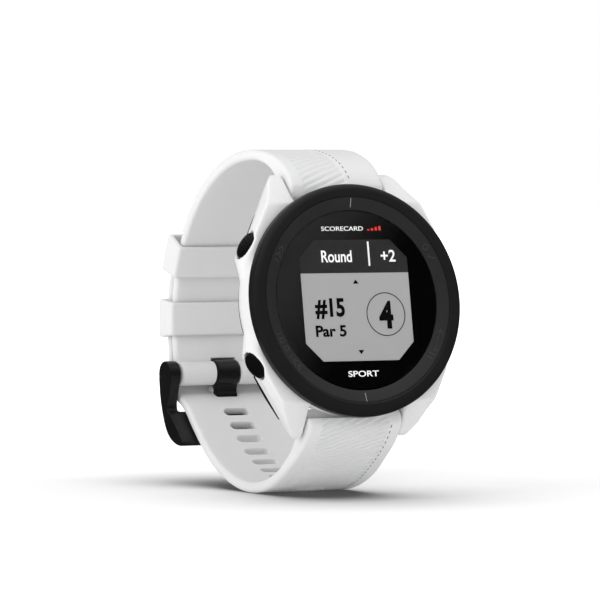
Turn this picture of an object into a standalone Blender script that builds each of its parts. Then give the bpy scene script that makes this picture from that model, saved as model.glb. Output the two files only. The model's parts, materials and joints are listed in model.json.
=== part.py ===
"""A golf GPS watch on its closed silicone strap, standing on the bottom of the strap loop.

Every part is laid out in the watch's own frame: +X to the right of the face, +Y from the face into the
strap loop, +Z up the face, origin at the middle of the lens. One empty then leans that frame back and
puts the middle of the whole watch's footprint at the world's origin, with the strap standing on z = 0.
"""

import math

import bmesh
import bpy
from mathutils import Matrix, Vector

MM = 0.001

# Driving dimensions
LEAN = math.radians(9.6)
GAP = 0.3 * MM
CASE_RADIUS = 21.4 * MM
LENS_RADIUS = 16.6 * MM
SCREEN_HALF = 11.4 * MM
SCREEN_CORNER = 3.4 * MM
BOARD_FRONT = 6.35 * MM
BOARD_RADIUS = 15.6 * MM

BUTTON_ANGLES = {"up": 150, "down": 210, "ok": 30, "back": 330}
BUTTON_DEPTH = 5.4 * MM
BUTTON_RADIUS = 2.6 * MM
COLLAR_RADIUS, COLLAR_TOP = 3.3 * MM, 22.6 * MM

LUG_INSIDE = 10.15 * MM
BAR_DEPTH = 6.9 * MM
BAR_HEIGHT = 22.2 * MM
BARREL_RADIUS = 2.8 * MM
LEVER_PLACE = 6.5 * MM
PORT_HEIGHT = -9.0 * MM

STRAP_HALF_WIDTH = 10.1 * MM
STRAP_HALF_AT_LUGS = 9.85 * MM
STRAP_THICKNESS = 2.0 * MM
TAIL_THICKNESS = 1.5 * MM
FLEX_DEPTH = 47.4 * MM
BACK_ARC_RADIUS = 31.8 * MM
BACK_ARC_HEADING = -42.6
BACK_ARC_TURN = -47.9
TAIL_ARC_RADIUS = BACK_ARC_RADIUS + STRAP_THICKNESS / 2 + GAP + TAIL_THICKNESS / 2
SLOT_PITCH = 3.85 * MM
SLOT_SHIFT = 0.67
SLOT_WIDTH = 5.3 * MM
TONGUE_SLOT = 4

PIN = Vector((56.7, -6.4)) * MM
PIN_RADIUS = 0.75 * MM
ROLL_RADIUS = 2.35 * MM
ARM_INSIDE = 10.55 * MM
ARM_OUTSIDE = 13.0 * MM
TONGUE_WIDTH = 4.7 * MM

# How a piece's own axes lie in the watch's frame
TURNED_INTO_WATCH = (-math.pi / 2, 0, 0)
SEEN_FROM_FRONT = (math.pi / 2, 0, 0)
SEEN_FROM_SIDE = (math.pi / 2, 0, math.pi / 2)
TURNED_ACROSS = (0, math.pi / 2, 0)

FINISHES = {
    "white polymer": ((0.86, 0.86, 0.85), 0.4, 0),
    "white silicone": ((0.84, 0.84, 0.83), 0.55, 0),
    "black polymer": ((0.02, 0.02, 0.021), 0.35, 0),
    "grey polymer": ((0.2, 0.2, 0.21), 0.5, 0),
    "black rubber": ((0.025, 0.025, 0.025), 0.7, 0),
    "lens glass": ((0.02, 0.02, 0.022), 0.05, 0),
    "display": ((0.45, 0.47, 0.46), 0.3, 0),
    "light guide": ((0.8, 0.82, 0.85), 0.2, 0),
    "amber film": ((0.55, 0.28, 0.05), 0.4, 0),
    "circuit board": ((0.02, 0.09, 0.04), 0.45, 0),
    "steel": ((0.6, 0.6, 0.6), 0.3, 1),
    "battery foil": ((0.55, 0.56, 0.58), 0.35, 0.8),
    "gold plate": ((0.8, 0.6, 0.25), 0.25, 1),
    "ceramic": ((0.75, 0.7, 0.6), 0.5, 0),
}


def mm(points):
    """Points given in millimetres, in metres."""
    return [tuple(value * MM for value in point) for point in points]


# Scene and node helpers


def clear_scene():
    for obj in list(bpy.data.objects):
        bpy.data.objects.remove(obj, do_unlink=True)


def collection(name):
    made = bpy.data.collections.new(name)
    bpy.context.scene.collection.children.link(made)
    return made


def empty(name, parent=None, location=(0, 0, 0)):
    made = bpy.data.objects.new(name, None)
    made.parent = parent
    made.location = location
    PARTS.objects.link(made)
    return made


def place(obj, rotation=(0, 0, 0), location=(0, 0, 0), pivot=None):
    """Puts obj in the watch's frame. With a pivot it hangs on that empty, at the same place."""
    pivot = pivot or WATCH
    offset = Vector((0, 0, 0)) if pivot is WATCH else pivot.location
    obj.parent = pivot
    obj.rotation_euler = rotation
    obj.location = Vector(location) - offset
    return obj


def finish(obj, kind):
    colour, roughness, metallic = FINISHES[kind]
    material = bpy.data.materials.new(obj.name)
    material.use_nodes = True
    shader = material.node_tree.nodes["Principled BSDF"]
    shader.inputs["Base Color"].default_value = (*colour, 1)
    shader.inputs["Roughness"].default_value = roughness
    shader.inputs["Metallic"].default_value = metallic
    obj.data.materials.append(material)
    return obj


def as_cutter(obj, group):
    """Moves obj out of the watch and into a collection of guides that a Boolean reads."""
    for owner in list(obj.users_collection):
        owner.objects.unlink(obj)
    group.objects.link(obj)
    obj.hide_render = True
    obj.display_type = "WIRE"
    return obj


def cutters(name):
    made = bpy.data.collections.new(name)
    CUTTERS.children.link(made)
    return made


def boolean(obj, operation, other):
    """Cuts or joins obj with another object, or with every object of a collection."""
    modifier = obj.modifiers.new(operation.title(), "BOOLEAN")
    modifier.operation = operation
    if isinstance(other, bpy.types.Collection):
        modifier.operand_type = "COLLECTION"
        modifier.collection = other
    else:
        modifier.object = other
    return obj


def bevel(obj, width, segments=1, angle=35):
    modifier = obj.modifiers.new("Bevel", "BEVEL")
    modifier.width = width
    modifier.segments = segments
    modifier.limit_method = "ANGLE"
    modifier.angle_limit = math.radians(angle)
    return obj


# Shape helpers


def from_bmesh(name, bm):
    mesh = bpy.data.meshes.new(name)
    bmesh.ops.recalc_face_normals(bm, faces=bm.faces)
    bm.to_mesh(mesh)
    bm.free()
    obj = bpy.data.objects.new(name, mesh)
    PARTS.objects.link(obj)
    return obj


def block(name, size, middle=(0, 0, 0)):
    """A box of that size around middle, in its own axes."""
    bm = bmesh.new()
    bmesh.ops.create_cube(bm, size=1, matrix=Matrix.Translation(middle) @ Matrix.Diagonal((*size, 1)))
    return from_bmesh(name, bm)


def turned(name, profile, segments=32):
    """A solid of revolution about local Z, from (radius, height) points in either order."""
    around = list(zip(profile, profile[1:] + profile[:1]))
    area = sum(a[0] * b[1] - b[0] * a[1] for a, b in around)
    points = list(reversed(profile)) if area > 0 else list(profile)
    meets_axis = sum(radius == 0 for radius, _ in points) == 2
    if meets_axis:
        while not (points[0][0] == 0 and points[-1][0] == 0):
            points = points[1:] + points[:1]
    count = len(points)
    edges = [(i, i + 1) for i in range(count - 1)]
    if not meets_axis:
        edges.append((count - 1, 0))
    mesh = bpy.data.meshes.new(name)
    mesh.from_pydata([(radius, 0, height) for radius, height in points], edges, [])
    obj = bpy.data.objects.new(name, mesh)
    PARTS.objects.link(obj)
    screw = obj.modifiers.new("Turn", "SCREW")
    screw.steps = screw.render_steps = segments
    screw.use_merge_vertices = True
    screw.merge_threshold = 0.005 * MM
    return obj


def rod(name, radius, start, end, segments=16):
    """A plain cylinder about local Z."""
    return turned(name, [(0, start), (radius, start), (radius, end), (0, end)], segments)


def extruded(name, outline, thickness):
    """A flat outline in local X and Y, thickness deep, half of it either side of local z = 0."""
    curve = bpy.data.curves.new(name, "CURVE")
    curve.dimensions = "2D"
    curve.fill_mode = "BOTH"
    curve.extrude = thickness / 2
    spline = curve.splines.new("POLY")
    spline.points.add(len(outline) - 1)
    for point, (x, y) in zip(spline.points, outline):
        point.co = (x, y, 0, 1)
    spline.use_cyclic_u = True
    guide = bpy.data.objects.new(name, curve)
    PARTS.objects.link(guide)
    evaluated = guide.evaluated_get(bpy.context.evaluated_depsgraph_get())
    bm = bmesh.new()
    bm.from_mesh(bpy.data.meshes.new_from_object(evaluated))
    bmesh.ops.remove_doubles(bm, verts=bm.verts, dist=0.001 * MM)
    bpy.data.objects.remove(guide)
    bpy.data.curves.remove(curve)
    return from_bmesh(name, bm)


def lofted(name, rings):
    """A closed solid through rings of equally many points."""
    bm = bmesh.new()
    made = [[bm.verts.new(point) for point in ring] for ring in rings]
    count = len(rings[0])
    for a, b in zip(made, made[1:]):
        for i in range(count):
            j = (i + 1) % count
            bm.faces.new((a[i], a[j], b[j], b[i]))
    bm.faces.new(made[0])
    bm.faces.new(made[-1])
    return from_bmesh(name, bm)


def arc(middle, radius, start, end, count):
    """Points on an arc, its angles in degrees, both ends included."""
    angles = [math.radians(start + (end - start) * i / count) for i in range(count + 1)]
    return [(middle[0] + radius * math.cos(a), middle[1] + radius * math.sin(a)) for a in angles]


def octagon(half, corner):
    """A square of that half-width with its corners cut off."""
    short = half - corner
    return [
        (half, -short), (half, short), (short, half), (-short, half),
        (-half, short), (-half, -short), (-short, -half), (short, -half),
    ]


def racetrack(width, height, count=3):
    """A slot outline, width from end to end, with round ends."""
    radius = height / 2
    reach = width / 2 - radius
    return arc((reach, 0), radius, -90, 90, count) + arc((-reach, 0), radius, 90, 270, count)


# The strap's centre lines, in depth and height


def arc_chain(start, heading, arcs, spacing):
    """Stations (depth, height, heading in degrees) along tangent arcs given as (length, turn in degrees)."""
    depth, height = start
    stations = [(depth, height, heading)]
    for length, turn in arcs:
        count = max(1, round(length / spacing))
        for _ in range(count):
            middle = math.radians(heading + turn / count / 2)
            depth += length / count * math.cos(middle)
            height += length / count * math.sin(middle)
            heading += turn / count
            stations.append((depth, height, heading))
    return stations


def running_lengths(stations):
    lengths = [0.0]
    for a, b in zip(stations, stations[1:]):
        lengths.append(lengths[-1] + math.dist(a[:2], b[:2]))
    return lengths


def station_at(stations, distance):
    """The station that far along, between the two nearest ones."""
    lengths = running_lengths(stations)
    index = min(max(1, sum(length < distance for length in lengths)), len(lengths) - 1)
    share = (distance - lengths[index - 1]) / (lengths[index] - lengths[index - 1])
    return tuple(a + (b - a) * share for a, b in zip(stations[index - 1], stations[index]))


def strap_ring(station, half_width, thickness):
    """The strap's cross-section at a station: a flat rectangle with its four corners cut off."""
    depth, height, heading = station
    side = Vector((-math.sin(math.radians(heading)), math.cos(math.radians(heading))))
    half = thickness / 2
    corner = min(0.45 * MM, half * 0.6)
    inner = half_width - corner
    around = [
        (inner, half), (half_width, half - corner), (half_width, corner - half), (inner, -half),
        (-inner, -half), (-half_width, corner - half), (-half_width, half - corner), (-inner, half),
    ]
    return [(x, depth + side.x * out, height + side.y * out) for x, out in around]


def round_nose(station, thickness):
    """Stations and thicknesses that close a strap end with a half-round nose behind its first station."""
    depth, height, heading = station
    turn = math.radians(heading)
    radius = thickness / 2
    nose = []
    for angle in (78, 50, 25):
        back = radius * math.sin(math.radians(angle))
        point = (depth - back * math.cos(turn), height - back * math.sin(turn), heading)
        nose.append((point, 2 * radius * math.cos(math.radians(angle))))
    return nose


def offset(station, distance):
    """The point beside a station, to the left of its heading."""
    turn = math.radians(station[2])
    return (station[0] - math.sin(turn) * distance, station[1] + math.cos(turn) * distance)


def short_front_line():
    arcs = [(15.7 * MM, 26.7), (18.7 * MM, 32.2), (11.6 * MM, 50.7)]
    return arc_chain(UPPER_FLEX, 137.5, arcs, 3.2 * MM)


def short_back_line():
    arc_length = math.radians(-BACK_ARC_TURN) * BACK_ARC_RADIUS
    to_pin = (4.9 * MM, 0)
    return arc_chain(UPPER_FLEX, BACK_ARC_HEADING, [(arc_length, BACK_ARC_TURN), to_pin], 3.0 * MM)


def long_front_line():
    arcs = [(16.4 * MM, -30.1), (17.6 * MM, -38.9), (12.3 * MM, -32.7)]
    return arc_chain(LOWER_FLEX, -133.4, arcs, 3.2 * MM)


def long_back_line():
    """From the tail's tip, down outside the other strap and round its roll, to the lower flex line."""
    tip_angle = math.radians(29)
    tip = (
        BACK_CENTRE.x + TAIL_ARC_RADIUS * math.cos(tip_angle),
        BACK_CENTRE.y + TAIL_ARC_RADIUS * math.sin(tip_angle),
    )
    beside_short_strap = 14.0 * MM
    along = math.degrees(beside_short_strap / TAIL_ARC_RADIUS)
    round_the_roll = [(8.1 * MM, -0.1), (5.9 * MM, -66.5), (6.0 * MM, 26.3), (9.2 * MM, -8.8)]
    return arc_chain(tip, -61, [(beside_short_strap, -along), *round_the_roll], 1.8 * MM)


def long_back_line_reversed():
    """From the lower flex line towards the tail's tip."""
    return [(depth, height, heading + 180) for depth, height, heading in reversed(long_back_line())]


UPPER_BAR = Vector((BAR_DEPTH, BAR_HEIGHT))
LOWER_BAR = Vector((BAR_DEPTH, -BAR_HEIGHT))
UPPER_FLEX = Vector((FLEX_DEPTH, BAR_HEIGHT))
LOWER_FLEX = Vector((FLEX_DEPTH, -BAR_HEIGHT))
_across = math.radians(BACK_ARC_HEADING - 90)
BACK_CENTRE = UPPER_FLEX + Vector((math.cos(_across), math.sin(_across))) * BACK_ARC_RADIUS


# Case


def make_lug(right, up, group):
    """One strap lug, where its outline from the front meets its outline from the side."""
    front = mm([
        (10.15, 15.0), (10.15, 25.2), (13.1, 24.6), (14.4, 21.6), (16.9, 17.4), (19.2, 12.9), (19.4, 9.6),
        (17.6, 8.0), (16.4, 12.0),
    ])
    side = mm([
        (2.05, 6.0), (2.05, 18.6), (3.3, 20.0), (6.3, 24.0), (7.4, 24.8), (8.4, 24.4), (10.4, 20.6),
        (10.4, 18.8), (9.3, 18.3), (9.3, 6.0),
    ])
    name = f"lug_guide_{'right' if right > 0 else 'left'}_{'upper' if up > 0 else 'lower'}"
    lug = extruded(name, [(x * right, z * up) for x, z in front], 24 * MM)
    place(lug, SEEN_FROM_FRONT)
    profile = extruded(name + "_profile", [(y, z * up) for y, z in side], 50 * MM)
    place(profile, SEEN_FROM_SIDE)
    boolean(lug, "INTERSECT", as_cutter(profile, SHAPERS))
    as_cutter(lug, group)


def make_lug_chamfer(right, up, group):
    """A slanted block that takes off a lug's rear outer corner, from its middle depth backwards."""
    half_thickness = 2.5 * MM
    to_back = math.radians(20.4)
    to_tip = math.radians(27.3) * up
    outwards = Vector((
        math.cos(to_back) * math.cos(to_tip) * right, math.sin(to_back) * math.cos(to_tip), math.sin(to_tip),
    ))
    edge = Vector((16.8 * right, 4.5, 17.25 * up)) * MM
    size = (2 * half_thickness, 24 * MM, 17 * MM)
    name = f"lug_chamfer_guide_{'right' if right > 0 else 'left'}_{'upper' if up > 0 else 'lower'}"
    rotation = (0, -to_tip, to_back if right > 0 else math.pi - to_back)
    as_cutter(place(block(name, size), rotation, edge + outwards * half_thickness), group)


def make_strap_recess(up, group):
    """The hollow between two lugs, round where the strap's end turns and open to the back."""
    radius = BARREL_RADIUS + 0.35 * MM
    middle = (BAR_DEPTH, BAR_HEIGHT * up)
    hollow = arc(middle, radius, -180 * up, 0, 10)
    outline = hollow + [(BAR_DEPTH + radius + 3 * MM, 24 * MM * up), (BAR_DEPTH + radius, 28 * MM * up)]
    outline.append((BAR_DEPTH - radius, 28 * MM * up))
    recess = extruded(f"recess_guide_{'upper' if up > 0 else 'lower'}", outline, 2 * LUG_INSIDE)
    as_cutter(place(recess, SEEN_FROM_SIDE), group)
    hole = rod(f"bar_hole_guide_{'upper' if up > 0 else 'lower'}", 0.75 * MM, -12 * MM, 12 * MM)
    as_cutter(place(hole, TURNED_ACROSS, (0, BAR_DEPTH, BAR_HEIGHT * up)), group)


def radial(angle):
    """The rotation that turns local Z to point out of the case at that clock angle, in degrees."""
    return (0, math.pi / 2 - math.radians(angle), 0)


def make_button_bore(side, angle, group):
    """A stepped hole: stem, then seal chamber, then the recess that the cap sinks into."""
    steps = mm([
        (0, 15.5), (1.2, 15.5), (1.2, 18.0), (2.1, 18.0), (2.1, 19.6), (2.9, 19.6), (2.9, 27), (0, 27),
    ])
    bore = turned(f"bore_guide_{side}", steps, 16)
    as_cutter(place(bore, radial(angle), (0, BUTTON_DEPTH, 0)), group)


def make_button_collar(side, angle, group):
    """A round boss on the case's edge that the button's cap stands in."""
    collar = rod(f"collar_guide_{side}", COLLAR_RADIUS, 18.5 * MM, COLLAR_TOP, 24)
    as_cutter(place(collar, radial(angle), (0, BUTTON_DEPTH, 0)), group)


def make_case():
    """The white case: a turned ring with four lugs, open at the back for the works."""
    profile = mm([
        (16.2, 2.35), (18.6, 2.35), (18.6, 2.05), (21.0, 2.05), (21.4, 2.45), (21.4, 6.2), (20.4, 8.4),
        (19.9, 9.3), (18.0, 9.3), (18.0, 8.7), (17.0, 8.7), (17.0, 3.1), (16.2, 3.1),
    ])
    case = place(turned("case_body", profile, 40), TURNED_INTO_WATCH)
    additions = cutters("case additions")
    holes = cutters("case holes")
    for up in (1, -1):
        make_strap_recess(up, holes)
        for right in (1, -1):
            make_lug(right, up, additions)
            make_lug_chamfer(right, up, holes)
    for side, angle in BUTTON_ANGLES.items():
        make_button_collar(side, angle, additions)
        make_button_bore(side, angle, holes)
    for x, z in screw_places():
        hole = rod("screw_hole_guide", 0.7 * MM, 6.0 * MM, 12 * MM, 12)
        as_cutter(place(hole, TURNED_INTO_WATCH, (x, 0, z)), holes)
    boolean(case, "UNION", additions)
    boolean(case, "DIFFERENCE", holes)
    finish(case, "white polymer")


def make_bezel():
    profile = mm([
        (16.9, 0.25), (16.9, -0.1), (18.95, -0.7), (19.3, -0.9), (20.9, -0.9), (21.5, -0.65), (21.85, 0.0),
        (21.85, 1.55), (21.65, 1.75), (18.3, 1.75), (18.3, 0.25),
    ])
    finish(place(turned("bezel", profile, 40), TURNED_INTO_WATCH), "black polymer")


def make_lens():
    """A stepped disc: its raised middle fills the bezel and its rim sits under the bezel's lip."""
    profile = [
        (0, 0), (LENS_RADIUS, 0), (LENS_RADIUS, 0.55 * MM), (18.0 * MM, 0.55 * MM), (18.0 * MM, 1.3 * MM),
        (0, 1.3 * MM),
    ]
    finish(place(turned("lens", profile, 40), TURNED_INTO_WATCH), "lens glass")
    gasket = turned("lens_gasket", mm([(17.0, 1.6), (17.9, 1.6), (17.9, 2.05), (17.0, 2.05)]))
    finish(place(gasket, TURNED_INTO_WATCH), "black rubber")


def screw_places():
    reach = 18.2 * MM * math.sqrt(0.5)
    return [(x * reach, z * reach) for x in (1, -1) for z in (1, -1)]


def make_back_cover():
    """The rear cover, its four screws, its seal and the charging contacts in their recess."""
    profile = mm([(0, 9.6), (19.6, 9.6), (19.6, 10.2), (19.3, 10.6), (0, 10.6)])
    cover = place(turned("back_cover", profile, 40), TURNED_INTO_WATCH)
    holes = cutters("cover holes")
    recess = extruded("port_guide", racetrack(9.0 * MM, 3.4 * MM), 2 * MM)
    as_cutter(place(recess, SEEN_FROM_FRONT, (0, 10.95 * MM, PORT_HEIGHT)), holes)
    for number, (x, z) in enumerate(screw_places(), 1):
        steps = mm([(0, 9), (0.7, 9), (0.7, 10.0), (0.95, 10.0), (0.95, 11), (0, 11)])
        seat = turned("seat_guide", steps, 12)
        as_cutter(place(seat, TURNED_INTO_WATCH, (x, 0, z)), holes)
        shape = mm([(0, 6.3), (0.4, 6.3), (0.4, 10.3), (0.68, 10.3), (0.68, 10.6), (0, 10.6)])
        screw = turned(f"back_screw_{number}", shape, 12)
        finish(place(screw, TURNED_INTO_WATCH, (x, 0, z)), "steel")
    for number in range(1, 5):
        x = (number - 2.5) * 1.9 * MM
        hole = rod("contact_hole_guide", 0.7 * MM, 9 * MM, 11 * MM, 12)
        as_cutter(place(hole, TURNED_INTO_WATCH, (x, 0, PORT_HEIGHT)), holes)
        contact = rod(f"charge_contact_{number}", 0.45 * MM, 9.5 * MM, 10.1 * MM, 12)
        finish(place(contact, TURNED_INTO_WATCH, (x, 0, PORT_HEIGHT)), "gold plate")
    boolean(cover, "DIFFERENCE", holes)
    finish(cover, "black polymer")
    seal = turned("back_gasket", mm([(17.25, 9.0), (17.6, 9.0), (17.6, 9.3), (17.25, 9.3)]))
    finish(place(seal, TURNED_INTO_WATCH), "black rubber")


# Works


def make_display():
    """The display panel, the light guide behind it and the frame that carries both."""
    panel = extruded("display_panel", octagon(SCREEN_HALF + 0.4 * MM, SCREEN_CORNER), 1.0 * MM)
    finish(place(panel, SEEN_FROM_FRONT, (0, 2.1 * MM, 0)), "display")
    guide = extruded("light_guide", octagon(SCREEN_HALF, SCREEN_CORNER), 0.6 * MM)
    finish(place(guide, SEEN_FROM_FRONT, (0, 3.2 * MM, 0)), "light guide")
    frame = place(rod("display_frame", BOARD_RADIUS, 3.4 * MM, 4.3 * MM, 32), TURNED_INTO_WATCH)
    pocket = extruded("pocket_guide", octagon(SCREEN_HALF + 0.4 * MM, SCREEN_CORNER), 0.8 * MM)
    as_cutter(place(pocket, SEEN_FROM_FRONT, (0, 3.4 * MM, 0)), SHAPERS)
    notch = block("notch_guide", (9 * MM, 4 * MM, 6 * MM), (0, 4 * MM, -15.8 * MM))
    as_cutter(place(notch), SHAPERS)
    boolean(frame, "DIFFERENCE", pocket)
    boolean(frame, "DIFFERENCE", notch)
    finish(frame, "grey polymer")


def make_ribbon(name, path, width, thickness, kind):
    """A flat cable: a strip across X that follows path in depth and height, thickened."""
    bm = bmesh.new()
    rows = [[bm.verts.new((x, y, z)) for x in (-width / 2, width / 2)] for y, z in path]
    for a, b in zip(rows, rows[1:]):
        bm.faces.new((a[0], a[1], b[1], b[0]))
    ribbon = place(from_bmesh(name, bm))
    solidify = ribbon.modifiers.new("Thickness", "SOLIDIFY")
    solidify.thickness = thickness
    solidify.offset = 0
    finish(ribbon, kind)


def make_electronics():
    board = rod("mainboard", BOARD_RADIUS, BOARD_FRONT, BOARD_FRONT + 0.8 * MM, 32)
    finish(place(board, TURNED_INTO_WATCH), "circuit board")
    for name, size, x, z, kind in (
        ("processor_shield", (9.0, 1.2, 9.0), -5.2, 2.0, "steel"),
        ("gps_receiver", (6.5, 1.1, 6.5), 4.5, 4.6, "steel"),
        ("gps_antenna", (13.0, 1.3, 3.0), 0.0, 13.2, "ceramic"),
        ("charge_circuit", (5.0, 0.9, 4.0), 4.6, -5.0, "grey polymer"),
    ):
        depth = BOARD_FRONT - GAP - size[1] * MM / 2
        part = block(name, [value * MM for value in size])
        finish(bevel(place(part, location=(x * MM, depth, z * MM)), 0.2 * MM), kind)
    flex_path = mm([(2.0, -12.2), (2.1, -13.6), (3.0, -14.4), (5.2, -14.4), (5.7, -14.0), (5.8, -10.5)])
    make_ribbon("display_flex", flex_path, 7.0 * MM, 0.2 * MM, "amber film")
    cell = block("battery", (21 * MM, 1.85 * MM, 23 * MM))
    finish(bevel(place(cell, location=(0, 8.38 * MM, 0)), 0.6 * MM, 2), "battery foil")
    lead_path = mm([(7.5, 12.0), (7.5, 15.0)])
    make_ribbon("battery_lead", lead_path, 3.0 * MM, 0.2 * MM, "amber film")


# Buttons


def make_button(side, angle):
    """A domed cap on a stem, its seal, the clip that keeps it in the case and the switch it presses."""
    at = (0, BUTTON_DEPTH, 0)
    dome = arc((0, 18.6 * MM), 5.0 * MM, 64, 90, 3)[1:-1]
    shape = mm([(0, 15.8), (0.9, 15.8), (0.9, 16.15), (0.6, 16.15), (0.6, 16.6), (0.9, 16.6), (0.9, 20.4)])
    shape += [(BUTTON_RADIUS, 20.4 * MM), (BUTTON_RADIUS, 22.6 * MM), (BUTTON_RADIUS - 0.25 * MM, 22.95 * MM)]
    shape += [*dome, (0, 23.6 * MM)]
    button = turned(f"button_{side}", shape, 16)
    finish(place(button, radial(angle), at), "black polymer")
    ring = arc((1.5 * MM, 18.9 * MM), 0.28 * MM, 0, 270, 3)
    finish(place(turned(f"button_seal_{side}", ring, 12), radial(angle), at), "black rubber")
    washer = mm([(0.8, 16.2), (1.7, 16.2), (1.7, 16.55), (0.8, 16.55)])
    clip = place(turned(f"button_clip_{side}", washer, 10), radial(angle), at)
    opening = block(f"clip_guide_{side}", mm([(1.2, 3.0, 2.0)])[0], (0, -1.5 * MM, 16.4 * MM))
    boolean(clip, "DIFFERENCE", as_cutter(place(opening, radial(angle), at), SHAPERS))
    finish(clip, "steel")
    body = block(f"switch_{side}", mm([(3.2, 1.5, 1.6)])[0], (0, -0.25 * MM, 14.1 * MM))
    plunger = rod(f"plunger_guide_{side}", 0.6 * MM, 14.5 * MM, 15.05 * MM, 10)
    place(body, radial(angle), at)
    boolean(body, "UNION", as_cutter(place(plunger, radial(angle), at), SHAPERS))
    finish(body, "grey polymer")


# Strap


def make_barrel(name, up, strap):
    """Joins the strap's round end onto strap, and cuts the bar's bore and the lever's slot through it."""
    at = (0, BAR_DEPTH, BAR_HEIGHT * up)
    barrel = rod(f"{name}_barrel_guide", BARREL_RADIUS, -STRAP_HALF_AT_LUGS, STRAP_HALF_AT_LUGS, 24)
    boolean(strap, "UNION", as_cutter(place(barrel, TURNED_ACROSS, at), SHAPERS))
    holes = cutters(f"{name} holes")
    bore = rod(f"{name}_bore_guide", 1.2 * MM, -12 * MM, 12 * MM, 14)
    as_cutter(place(bore, TURNED_ACROSS, at), holes)
    slot_size = mm([(3.2, 6.4, 1.3)])[0]
    slot = block(f"{name}_lever_slot_guide", slot_size, (LEVER_PLACE - 0.6 * MM, 3.5 * MM, 0))
    as_cutter(place(slot, location=at), holes)
    boolean(strap, "DIFFERENCE", holes)


def make_strap_front(name, line, up, pivot, slots=None):
    """The half of a strap between its spring bar and its flex line."""
    lengths = running_lengths(line)
    nose = round_nose(line[0], STRAP_THICKNESS)
    rings = [strap_ring(station, STRAP_HALF_WIDTH, thick) for station, thick in nose]
    for station, length in zip(line, lengths):
        to_bar = lengths[-1] - length
        swell = max(0, 1 - to_bar / (13 * MM))
        half_width = STRAP_HALF_AT_LUGS if to_bar < 9 * MM else STRAP_HALF_WIDTH
        rings.append(strap_ring(station, half_width, STRAP_THICKNESS + 1.6 * MM * swell))
    strap = place(lofted(name, rings), pivot=pivot)
    make_barrel(name, up, strap)
    if slots:
        boolean(strap, "DIFFERENCE", slots)
    finish(strap, "white silicone")


def flex_cutter(name, flex):
    """The hollow that a strap's round nose turns in."""
    cutter = rod(name, STRAP_THICKNESS / 2 + GAP, -12 * MM, 12 * MM, 18)
    return as_cutter(place(cutter, TURNED_ACROSS, (0, flex.x, flex.y)), SHAPERS)


def make_short_back(pivot):
    """The short strap's buckle end, with the roll that the pin runs through and a gap for the tongue."""
    rings = [strap_ring(station, STRAP_HALF_WIDTH, STRAP_THICKNESS) for station in short_back_line()]
    strap = place(lofted("short_strap_back", rings), pivot=pivot)
    at_pin = (0, PIN.x, PIN.y)
    roll = rod("roll_guide", ROLL_RADIUS, -STRAP_HALF_WIDTH, STRAP_HALF_WIDTH, 24)
    boolean(strap, "UNION", as_cutter(place(roll, TURNED_ACROSS, at_pin), SHAPERS))
    boolean(strap, "DIFFERENCE", flex_cutter("upper_flex_guide", UPPER_FLEX))
    half = TONGUE_WIDTH / 2 + GAP
    narrow = PIN_RADIUS + GAP
    wide = 3.05 * MM
    end = 12 * MM
    steps = [
        (0, -end), (narrow, -end), (narrow, -half), (wide, -half), (wide, half), (narrow, half),
        (narrow, end), (0, end),
    ]
    gap = place(turned("pin_bore_and_tongue_gap_guide", steps, 20), TURNED_ACROSS, at_pin)
    boolean(strap, "DIFFERENCE", as_cutter(gap, SHAPERS))
    finish(strap, "white silicone")
    pin = rod("buckle_pin", PIN_RADIUS, -11.8 * MM, 11.8 * MM, 16)
    finish(place(pin, TURNED_ACROSS, at_pin, pivot), "steel")


def make_slots():
    """Guides for the long strap's row of slots, the buckle tongue's own slot among them."""
    group = cutters("strap slots")
    back = long_back_line_reversed()
    front = long_front_line()
    for number in range(-6, 6):
        along = (number - SLOT_SHIFT) * SLOT_PITCH
        if number == TONGUE_SLOT:
            slot = block("tongue_slot_guide", (SLOT_WIDTH, 2.4 * MM, 6 * MM))
            as_cutter(place(slot, location=(0, PIN.x + 0.45 * MM, PIN.y - 4.9 * MM)), group)
            continue
        depth, height, heading = station_at(back, along) if along > 0 else station_at(front, -along)
        slot = extruded("slot_guide", racetrack(SLOT_WIDTH, 1.9 * MM), 5 * MM)
        across = math.radians(heading)
        place(slot, (across, 0, 0), (0, depth, height))
        as_cutter(slot, group)
    return group


def make_long_back(pivot, slots):
    """The long strap from its flex line through the buckle to the tip of its tail."""
    line = long_back_line()
    lengths = running_lengths(line)
    rings = []
    for station, length in zip(line, lengths):
        thick = TAIL_THICKNESS if length < 22 * MM else 1.8 * MM
        thick = STRAP_THICKNESS if length > 36 * MM else thick
        rings.append(strap_ring(station, STRAP_HALF_WIDTH - tip_taper(length), thick))
    strap = place(lofted("long_strap_back", rings), pivot=pivot)
    boolean(strap, "DIFFERENCE", flex_cutter("lower_flex_guide", LOWER_FLEX))
    boolean(strap, "DIFFERENCE", slots)
    finish(strap, "white silicone")


def tip_taper(length):
    """How far the tail's edge has come in at that distance from its tip."""
    reach = 4.0 * MM
    return 0 if length >= reach else 4.0 * MM * (1 - math.sqrt(1 - (1 - length / reach) ** 2))


def arc_band(inner, outer, start, end, count):
    """A side outline between two arcs about the middle of the band's back."""
    middle = tuple(BACK_CENTRE)
    return arc(middle, outer, start, end, count) + arc(middle, inner, end, start, count)


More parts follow.
